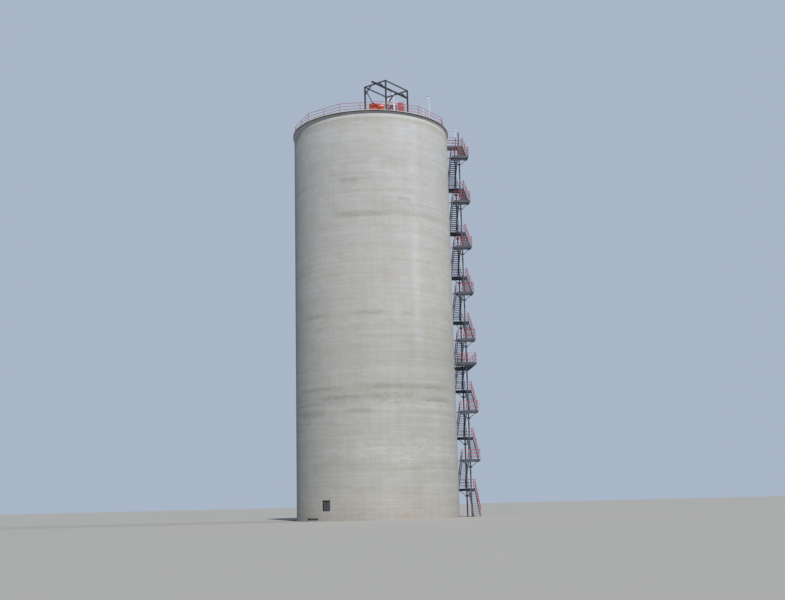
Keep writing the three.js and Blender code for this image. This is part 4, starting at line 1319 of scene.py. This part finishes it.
def wall_tie(shape, angle, level):
    """A tube from the landing's silo side to a bolted plate on the wall."""
    z = level - TIE_DROP
    start = on_ring(WALL_RADIUS + SEAT, angle, z)
    end = on_ring((TOWER_LEFT + CHANNEL_FLANGE / 2) / math.cos(angle), angle, z)
    bar(shape, start, end, tube_section(TIE_SIDE))
    outwards = (end - start).normalized()
    across = Vector((-outwards.y, outwards.x, 0))
    face = start + outwards * TIE_PLATE_THICKNESS
    bar(shape, start, face, flat_section(TIE_PLATE, TIE_PLATE), across)
    reach = TIE_PLATE * 0.35
    for u in (-reach, reach):
        for v in (-reach, reach):
            bolt(shape, face + across * u + UP * v, outwards, *TIE_BOLT)


def near_landings(finishes):
    shape = Shape()
    tower_column(shape, NEAR_EDGE, COLUMN_TOP)
    for index in NEAR_LEVELS:
        level = level_after(index)
        deck(shape, (TOWER_LEFT, NEAR_EDGE - LANDING_DEPTH), (TOWER_RIGHT, NEAR_EDGE), level)
        knee_braces(shape, NEAR_EDGE, -1, level)
        wall_tie(shape, NEAR_TIE_ANGLE, level)
    walkway_left = TOWER_RIGHT - FLIGHT_WIDTH
    deck(shape, (walkway_left, NEAR_EDGE), (TOWER_RIGHT, FAR_EDGE - SEAT), level_after(WALKWAY_LEVEL), 0)
    shape.piece("tower_near_frame", finishes, ["near_landings_and_column"], "grey_steel")


def far_landings(finishes):
    """The far landings with their column, and the bridge that rests on the roof slab."""
    shape = Shape()
    end = FAR_EDGE + LANDING_DEPTH
    tower_column(shape, FAR_EDGE, TOP_LANDING)
    for index in FAR_LEVELS:
        level = level_after(index)
        deck(shape, (TOWER_LEFT, FAR_EDGE), (TOWER_RIGHT, end), level)
        if index > 0:
            knee_braces(shape, FAR_EDGE, 1, level)
            wall_tie(shape, FAR_TIE_ANGLE, level)
    bridge_left = math.sqrt(ROOF_RADIUS ** 2 - end ** 2) - BRIDGE_OVERLAP
    deck(shape, (bridge_left, FAR_EDGE), (TOWER_LEFT, end), TOP_LANDING, 0, BRIDGE_RISE)
    shape.piece("tower_far_frame", finishes, ["far_landings_and_column"], "grey_steel")


# Roof equipment

def head_point(along, across, height):
    return HEAD_AXES @ Vector((along, across, height))


def head_frame(finishes):
    """Posts, rails and knees of square tube, a hoist beam through the end rails, and a thin brace."""
    shape = Shape()
    a, b = HEAD_LENGTH / 2, HEAD_WIDTH / 2
    along = head_point(1, 0, 0) - head_point(0, 0, 0)
    z = HEAD_HEIGHT - HEAD_RAIL_SIDE / 2
    rail = tube_section(HEAD_RAIL_SIDE)
    for side in (-1, 1):
        bar(shape, head_point(-a, side * b, z), head_point(a, side * b, z), rail)
        bar(shape, head_point(side * a, -b, z), head_point(side * a, b, z), rail)
        for end in (-1, 1):
            head_post(shape, side * a, end * b, along)
            foot = head_point(side * a, end * b, z - HEAD_KNEE_REACH)
            head = head_point(side * a, end * (b - HEAD_KNEE_REACH), z)
            bar(shape, foot, head, tube_section(HEAD_KNEE_SIDE))
    hoist_beam(shape, a, along)
    rod = [head_point(-a, b, HEAD_HEIGHT - HEAD_ROD_DROP), head_point(a, b, HEAD_ROD_FOOT)]
    pipe(shape, rod, HEAD_ROD_RADIUS, 8)
    shape.piece("head_frame_steel", finishes, ["head_frame"], "black_steel")


def head_post(shape, u, v, along):
    """A square post with a capped top on a base plate with four bolts."""
    under = HEAD_HEIGHT - HEAD_CAP
    bar(shape, head_point(u, v, 0), head_point(u, v, under), tube_section(HEAD_POST_SIDE), along)
    cap = HEAD_POST_SIDE / 2 - 0.004
    box(shape, (u - cap, v - cap, under), (u + cap, v + cap, HEAD_HEIGHT), axes=HEAD_AXES)
    base_plate(shape, (u, v, 0), *HEAD_BASE, axes=HEAD_AXES)


def hoist_beam(shape, a, along):
    """An I beam let into the end rails, with a stop plate near each end."""
    z = HEAD_HEIGHT + HOIST_RISE - HOIST_DEPTH / 2
    near, far = -a - HOIST_NEAR, a + HOIST_FAR
    section = beam_section(HOIST_WIDTH, HOIST_DEPTH, 0.012, 0.018)
    bar(shape, head_point(near, 0, z), head_point(far, 0, z), section)
    for u in (near + HOIST_STOP, far - HOIST_STOP):
        stop = head_point(u, 0, z)
        bar(shape, stop - along * 0.01, stop + along * 0.01, flat_section(HOIST_WIDTH, HOIST_DEPTH))


def ribbed_outline(radius, rib_height):
    """A round outline of (u, v) points with square ribs standing on it."""
    points = []
    crest = radius + rib_height
    width = 2 * math.pi / MOTOR_FINS * FIN_SHARE
    for rib in range(MOTOR_FINS):
        start = 2 * math.pi * rib / MOTOR_FINS
        for turn, reach in ((0, radius), (0, crest), (width, crest), (width, radius)):
            points.append((reach * math.cos(start + turn), reach * math.sin(start + turn)))
    return points


def motor(shape, start, end, radius):
    """A finned motor body with its fan cowl, end shield and shaft."""
    start = Vector(start)
    along = Vector(end) - start
    length = along.length
    bar(shape, start + along * 0.24, start + along * 0.9, ribbed_outline(radius * 0.84, radius * 0.13))
    cowl = [(0, 0), (0, radius * 0.7), (0.02, radius * 0.95), (length * 0.22, radius)]
    cowl += [(length * 0.24, radius * 0.97), (length * 0.24, 0)]
    shield = [(length * 0.89, 0), (length * 0.89, radius), (length * 0.93, radius)]
    shield += [(length * 0.97, radius * 0.6), (length, radius * 0.5), (length, 0)]
    for profile in (cowl, shield):
        lathe(shape, start, along, profile, 28)
    pipe(shape, [start + along * 0.9, start + along * 1.02], radius * 0.18)


def drive_unit(finishes):
    """A finned motor, a ribbed gear case and a guarded coupling on a raised bed."""
    shape = Shape()
    x, y = DRIVE_PLACE
    left, right = x - DRIVE_LENGTH / 2, x + DRIVE_LENGTH / 2
    front, back = y - DRIVE_WIDTH / 2, y + DRIVE_WIDTH / 2
    bed = ROOF_TOP + DRIVE_BED_HEIGHT
    under = bed - DRIVE_BED_THICKNESS
    axle = bed + MOTOR_RADIUS - MOTOR_SINK
    crown = axle + MOTOR_RADIUS
    section = channel_section(0.07, DRIVE_BED_THICKNESS, 0.009, FLANGE)
    for edge, inwards in ((front, FAR), (back, NEAR)):
        middle = (under + bed) / 2
        bar(shape, (left, edge, middle), (right, edge, middle), section, inwards)
    box(shape, (left, front, bed - PLATE_THICKNESS), (right, back, bed))
    for leg in (left, right - DRIVE_LEG):
        drive_leg(shape, leg + DRIVE_LEG / 2, front, back, under)
    motor(shape, (left, y, axle), (left + MOTOR_LENGTH, y, axle), MOTOR_RADIUS)
    for foot in (left + 0.27, left + 0.6):
        for side in (-0.25, 0.25):
            block(shape, (foot, y + side), (0.06, 0.09), bed, bed + 0.09)
    block(shape, (left + 0.47, y), (0.11, 0.14), crown - 0.06, crown + 0.05)
    gear_left = left + MOTOR_LENGTH - MOTOR_SINK
    gear_case(shape, gear_left, y, bed, axle)
    outer, inner = COUPLING_RADIUS, COUPLING_RADIUS * 0.92
    reach = right - gear_left - GEAR_CASE_LENGTH - 0.02
    guard = [(0, 0), (0, outer), (0.02, outer), (0.02, inner)]
    guard += [(reach - 0.02, inner), (reach - 0.02, outer), (reach, outer), (reach, 0)]
    lathe(shape, (right - reach, y, axle), RIGHT, guard)
    shape.piece("roof_drive", finishes, ["drive_unit"], "orange_paint")


def drive_leg(shape, x, front, back, under):
    """Two H posts on base plates under a cross plate, with a slanting brace between them."""
    half = DRIVE_LEG / 2
    box(shape, (x - half, front, under - 0.02), (x + half, back, under))
    section = beam_section(DRIVE_LEG_FLANGE, DRIVE_LEG, 0.01, 0.014)
    for y in (front + DRIVE_LEG_FLANGE / 2, back - DRIVE_LEG_FLANGE / 2):
        bar(shape, (x, y, ROOF_TOP), (x, y, under), section, FAR)
        block(shape, (x, y), (half + 0.02, DRIVE_LEG_FLANGE / 2 + 0.02), ROOF_TOP, ROOF_TOP + 0.018)
    bar(shape, (x, front + 0.1, ROOF_TOP + 0.15), (x, back - 0.1, under - 0.1), angle_section(BRACE_SIDE))


def gear_case(shape, left, y, bed, axle):
    """A cast case with a bolted waist flange, ribs and a filler cap."""
    top = bed + GEAR_CASE_HEIGHT
    middle = left + GEAR_CASE_LENGTH / 2
    half = MOTOR_RADIUS
    w, c = half - 0.02, GEAR_CASE_CHAMFER
    outline = [(-w, bed), (w, bed), (w, top - c), (w - c, top), (c - w, top), (-w, top - c)]
    prism(shape, [(left + 0.02, y + v, z) for v, z in outline], (GEAR_CASE_LENGTH - 0.04, 0, 0))
    block(shape, (middle, y), (GEAR_CASE_LENGTH / 2, half), axle - 0.025, axle + 0.025)
    for share in (0.2, 0.5, 0.8):
        u = left + GEAR_CASE_LENGTH * share
        block(shape, (u, y), (0.012, half - 0.002), bed, top - c)
        for v in (-w, w):
            bolt(shape, (u + 0.05, y + v, axle + 0.025), UP, *WAIST_BOLT)
    filler = [(0, 0), (0, 0.05), (0.03, 0.05), (0.03, 0.03), (0.05, 0.03), (0.05, 0)]
    lathe(shape, (middle, y, top), UP, filler, 14)


def vent_fan(finishes):
    """A scroll casing with flanged sides, its outlet up, an inlet ring and a motor on a panelled stand."""
    shape = Shape()
    x, y = FAN_PLACE
    axle = ROOF_TOP + FAN_AXLE
    top = ROOF_TOP + FAN_STAND_HEIGHT
    fan_stand(shape, top)
    front, back = y - FAN_CASING_DEPTH / 2, y + FAN_CASING_DEPTH / 2
    prism(shape, fan_scroll(x, front + 0.02, axle, 0.0), (0, FAN_CASING_DEPTH - 0.04, 0))
    for plate in (front, back - PLATE_THICKNESS):
        prism(shape, fan_scroll(x, plate, axle, 0.02), (0, PLATE_THICKNESS, 0))
    outlet_top = ROOF_TOP + FAN_OUTLET_TOP
    middle = (x - FAN_RADIUS + FAN_OUTLET_WIDTH / 2, y)
    lip = (FAN_OUTLET_WIDTH / 2 + 0.01, FAN_CASING_DEPTH / 2 + 0.01)
    block(shape, middle, lip, outlet_top - 0.03, outlet_top)
    ring = [(0, 0), (0, 0.15), (0.05, 0.19), (0.05, 0.23), (0.065, 0.23), (0.065, 0)]
    lathe(shape, (x, front - 0.04, axle), FAR, ring, 28)
    for u, v in round_section(FAN_RADIUS * 0.87, 12):
        bolt(shape, (x + u, front, axle + v), NEAR, *CASING_BOLT)
    motor(shape, (x, back + FAN_MOTOR_LENGTH, axle), (x, back - 0.01, axle), FAN_MOTOR_RADIUS)
    block(shape, (x, back + 0.05), (0.18, 0.05), top, axle - 0.16)
    shape.piece("roof_fan", finishes, ["vent_fan"], "red_paint")


def fan_stand(shape, top):
    """Angle posts at the corners, panels between them and a band at the top and the foot."""
    x, y = FAN_PLACE
    w, d = FAN_STAND_WIDTH / 2, FAN_STAND_DEPTH / 2
    inset = FAN_STAND_ANGLE / 2
    for u in (-1, 1):
        for v in (-1, 1):
            corner = (x + u * (w - inset), y + v * (d - inset))
            bar(shape, (*corner, ROOF_TOP), (*corner, top), angle_section(FAN_STAND_ANGLE), (u, 0, 0))
    block(shape, (x, y), (w - PLATE_THICKNESS, d - PLATE_THICKNESS), ROOF_TOP + 0.05, top - 0.03)
    for foot in (top - 0.06, ROOF_TOP):
        block(shape, (x, y), (w, d), foot, foot + 0.06)


def fan_scroll(x, y, axle, proud):
    """Outline of the casing seen from the front: a spiral that opens into the upright outlet."""
    left = x - FAN_RADIUS - proud
    top = ROOF_TOP + FAN_OUTLET_TOP - 0.01
    near_radius = FAN_RADIUS * 0.94
    first = math.acos((FAN_OUTLET_WIDTH - FAN_RADIUS) / near_radius)
    points = [(left, y, top), (left + FAN_OUTLET_WIDTH + 2 * proud, y, top)]
    for step in range(25):
        turn = first - (first + math.pi) * step / 24
        radius = near_radius + (FAN_RADIUS - near_radius) * step / 24 + proud
        points.append((x + radius * math.cos(turn), y, axle + radius * math.sin(turn)))
    return points


def fill_hood(finishes):
    """A seamed sheet box with a tapering neck, a junction box on it, and thin white pipes."""
    shape = Shape()
    w, d = HOOD_WIDTH / 2, HOOD_DEPTH / 2
    top = ROOF_TOP + HOOD_HEIGHT
    block(shape, HOOD_PLACE, (w - HOOD_SHEET_INSET, d - HOOD_SHEET_INSET), ROOF_TOP, top)
    for low, height in ((ROOF_TOP, 0.05), (ROOF_TOP + HOOD_HEIGHT / 2, 0.04), (top - 0.05, 0.05)):
        block(shape, HOOD_PLACE, (w, d), low, low + height)
    hood_seams(shape, w, d, top)
    x, y = HOOD_NECK_X, HOOD_PLACE[1]
    foot, head, neck = HOOD_NECK_FOOT, HOOD_NECK_TOP, HOOD_NECK_HEIGHT
    profile = [(0, 0), (0, foot), (0.03, foot), (0.03, foot - 0.03), (neck - 0.03, head)]
    profile += [(neck - 0.03, head + 0.03), (neck, head + 0.03), (neck, 0)]
    lathe(shape, (x, y, top), UP, profile, 32)
    junction_box(shape, x, y, top + neck, ROOF_TOP + HOOD_BLOCK_TOP)
    hood_pipes(shape, x, y)
    shape.piece("roof_hood", finishes, ["fill_hood"], "galvanised")


def hood_seams(shape, w, d, top):
    """Bare metal seams up the four sides of the hood's box."""
    x, y = HOOD_PLACE
    for side in (-1, 1):
        for share in (-1, -0.6, -0.2, 0.2, 0.6, 1):
            middle = (x + share * (w - HOOD_SHEET_INSET), y + side * (d - 0.01))
            block(shape, middle, (0.014, 0.01), ROOF_TOP, top, ZINC)
        for share in (-1, -0.34, 0.34, 1):
            middle = (x + side * (w - 0.01), y + share * (d - HOOD_SHEET_INSET))
            block(shape, middle, (0.01, 0.014), ROOF_TOP, top, ZINC)


def junction_box(shape, x, y, bottom, top):
    """A square box with a lid that overhangs it, and a gland for the pipe that stands on it."""
    half = HOOD_BLOCK_SIDE / 2
    inner = half - 0.015
    lid = top - 0.005
    block(shape, (x, y), (inner, inner), bottom, top - 0.03, THIRD)
    base_plate(shape, (x, y, top - 0.04), half, 0.035, half * 0.8, 0.012, 0.01, THIRD)
    for u in (-0.7, 0.7):
        bolt(shape, (x + u * inner, y - inner, (bottom + top) / 2), NEAR, *BOX_BOLT)
    gland = [(0, 0), (0, 0.11), (0.03, 0.11), (0.06, 0.08), (0.06, 0)]
    lathe(shape, (x, y, lid), UP, gland, 16, SECOND)


def hood_pipes(shape, x, y):
    """The pipe on the junction box, a riser and a gooseneck up the hood's front, and their clips."""
    pipe(shape, [(x, y, ROOF_TOP + HOOD_BLOCK_TOP), (x, y, ROOF_TOP + STACK_TOP)], STACK_RADIUS, 14, SECOND)
    radius = HOOD_PIPE_RADIUS
    front = y - HOOD_DEPTH / 2 - HOOD_PIPE_STAND_OFF
    foot = ROOF_TOP + HOOD_PIPE_FOOT
    riser_top = ROOF_TOP + RISER_TOP
    pipe(shape, [(RISER_X, front, foot), (RISER_X, front, riser_top - 0.04)], radius * 0.8, 12, SECOND)
    cowl = [(0, 0), (0, radius), (0.03, radius), (0.06, 0.02), (0.06, 0)]
    lathe(shape, (RISER_X, front, riser_top - 0.06), UP, cowl, 14, SECOND)
    bend = (GOOSENECK_X, front, ROOF_TOP + GOOSENECK_TOP)
    lip = (GOOSENECK_X + GOOSENECK_REACH, front, ROOF_TOP + GOOSENECK_TOP - GOOSENECK_FALL)
    pipe(shape, rounded([(GOOSENECK_X, front, foot), bend, lip], 0.18, 6), radius, 14, SECOND)
    low, high = front - radius * 0.9, front + HOOD_PIPE_STAND_OFF + 0.02
    for place in (RISER_X, GOOSENECK_X):
        for height in CLIP_HEIGHTS:
            z = ROOF_TOP + height
            box(shape, (place - 0.075, low, z), (place + 0.075, high, z + 0.03))


def lamp_pole(finishes, name, place, bottom, height, radius):
    """A pole on a bolted base plate, and a ball lamp under a flat cap on a short curved arm."""
    shape = Shape()
    x, y = place
    top = bottom + height
    ball = top - LAMP_BALL_DROP
    arm = ball - LAMP_ARM_RISE
    lamp = (x + LAMP_ARM[0], y + LAMP_ARM[1])
    base_plate(shape, (x, y, bottom), *LAMP_BASE)
    sleeve = [(0, 0), (0, radius + 0.03), (0.12, radius + 0.01), (0.12, 0)]
    lathe(shape, (x, y, bottom + 0.01), UP, sleeve, 14)
    pipe(shape, [(x, y, bottom), (x, y, arm + 0.03)], radius, 12)
    pipe(shape, rounded([(x, y, arm), (x, y, arm + 0.06), (*lamp, ball)], 0.05), LAMP_ARM_RADIUS)
    turns = [math.pi * step / 12 for step in range(13)]
    globe = [(LAMP_BALL_RADIUS * (1 - math.cos(turn)), LAMP_BALL_RADIUS * math.sin(turn)) for turn in turns]
    lathe(shape, (*lamp, ball - LAMP_BALL_RADIUS), UP, globe, 24, SECOND)
    collar = [(0, 0), (0, 0.06), (0.03, 0.06), (0.05, 0.04), (0.12, 0.04), (0.12, 0)]
    lathe(shape, (*lamp, ball + LAMP_BALL_RADIUS - 0.03), UP, collar, 18)
    brim, rise = LAMP_CAP_RADIUS, LAMP_CAP_THICKNESS
    cap = [(0, 0), (0, brim - 0.006), (0.012, brim), (rise * 0.5, brim * 0.8), (rise, brim * 0.3), (rise, 0)]
    lathe(shape, (*lamp, top - rise), UP, cap, 28)
    shape.piece(name, finishes, [f"{name}_pole"], "white_paint")


def conduit_stub(finishes):
    """A short pipe with a foot ring and a domed cap."""
    shape = Shape()
    pole, top = CONDUIT_RADIUS, CONDUIT_HEIGHT
    profile = [(0, 0), (0, 0.1), (0.015, 0.1), (0.015, pole), (top - 0.12, pole)]
    profile += [(top - 0.1, 0.085), (top - 0.03, 0.085), (top, 0.03), (top, 0)]
    lathe(shape, (*CONDUIT_PLACE, ROOF_TOP), UP, profile, 20)
    shape.piece("roof_conduit", finishes, ["conduit_stub"], "white_paint")


# Studio

def sky():
    """An even pale surround behind the silo, of which only a softer share lights it."""
    world = bpy.data.worlds.new("studio")
    bpy.context.scene.world = world
    world.use_nodes = True
    tree = world.node_tree
    light = tree.nodes["Background"]
    light.inputs["Color"].default_value = (*WORLD_LIGHT, 1.0)
    shown = tree.nodes.new("ShaderNodeBackground")
    shown.inputs["Color"].default_value = (*BACKDROP, 1.0)
    rays = tree.nodes.new("ShaderNodeLightPath")
    mixed = tree.nodes.new("ShaderNodeMixShader")
    tree.links.new(rays.outputs["Is Camera Ray"], mixed.inputs[0])
    tree.links.new(light.outputs[0], mixed.inputs[1])
    tree.links.new(shown.outputs[0], mixed.inputs[2])
    tree.links.new(mixed.outputs[0], tree.nodes["World Output"].inputs["Surface"])


def lamp(name, azimuth, elevation, strength, angle, colour):
    data = bpy.data.lights.new(name, "SUN")
    data.energy = strength
    data.angle = math.radians(angle)
    data.color = colour
    towards = on_ring(math.cos(math.radians(elevation)), FRONT + math.radians(azimuth), 0)
    towards.z = math.sin(math.radians(elevation))
    linked(name, data).rotation_euler = towards.to_track_quat("Z", "Y").to_euler()


def camera():
    yaw, pitch, roll = in_radians((CAMERA_YAW, CAMERA_PITCH, CAMERA_ROLL))
    forward = Vector((math.sin(yaw) * math.cos(pitch), math.cos(yaw) * math.cos(pitch), math.sin(pitch)))
    right = Vector((math.cos(yaw), -math.sin(yaw), 0))
    up = right.cross(forward)
    rolled_right = right * math.cos(roll) + up * math.sin(roll)
    rolled_up = up * math.cos(roll) - right * math.sin(roll)
    data = bpy.data.cameras.new("camera")
    data.lens = CAMERA_LENS
    data.sensor_width = SENSOR_WIDTH
    data.sensor_fit = "HORIZONTAL"
    data.clip_end = FLOOR_REACH * 3
    made = linked("camera", data)
    axes = Matrix((rolled_right, rolled_up, -forward)).transposed()
    made.matrix_world = Matrix.Translation(CAMERA_PLACE) @ axes.to_4x4()
    bpy.context.scene.camera = made


def studio_floor():
    """A very wide disc just under the silo's foot."""
    mesh = bpy.data.meshes.new("studio_floor")
    turns = [2 * math.pi * corner / FLOOR_CORNERS for corner in range(FLOOR_CORNERS)]
    points = [on_ring(FLOOR_REACH, turn, -FLOOR_GAP) for turn in turns]
    mesh.from_pydata(points, [], [tuple(range(FLOOR_CORNERS))])
    mesh.materials.append(floor_finish())
    linked("studio_floor", mesh)


def build():
    camera()
    sky()
    lamp("key", *KEY_LAMP)
    lamp("fill", *FILL_LAMP)
    bpy.context.scene.view_settings.view_transform = "Standard"
    studio_floor()

    slab = slab_concrete()
    zinc = galvanised_steel()
    paint = {name: painted_steel(name) for name in PAINTS}
    grey = [paint["grey_steel"], zinc]
    white = [paint["white_paint"], zinc, paint["lamp_glass"]]
    silo_wall([wall_concrete()])
    roof_slab([slab])
    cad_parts["floor_slab"].material_slots[0].material = slab
    wall_vent([paint["black_steel"], zinc, paint["vent_blades"]])
    roof_guards([paint["red_paint"], zinc])
    stair_flights(grey)
    near_landings(grey)
    far_landings(grey)
    # The silo-side flight rails and the inner rail take the red paint with painted shade; the inner rail's
    # bridge guard takes the plain red
    stair_guards([paint["red_paint"], zinc, paint["red_paint_painted_shade"]])
    inner_handrails([paint["red_paint_painted_shade"], zinc, paint["red_paint"]])
    head_frame([paint["black_steel"], zinc])
    drive_unit([paint["orange_paint"], zinc])
    vent_fan([paint["fan_red_paint"], zinc])
    fill_hood([paint["hood_sheet"], zinc, paint["white_paint"], paint["beige_paint"]])
    for pole in LAMP_POLES:
        lamp_pole(white, *pole)
    conduit_stub([paint["white_paint"]])


build()
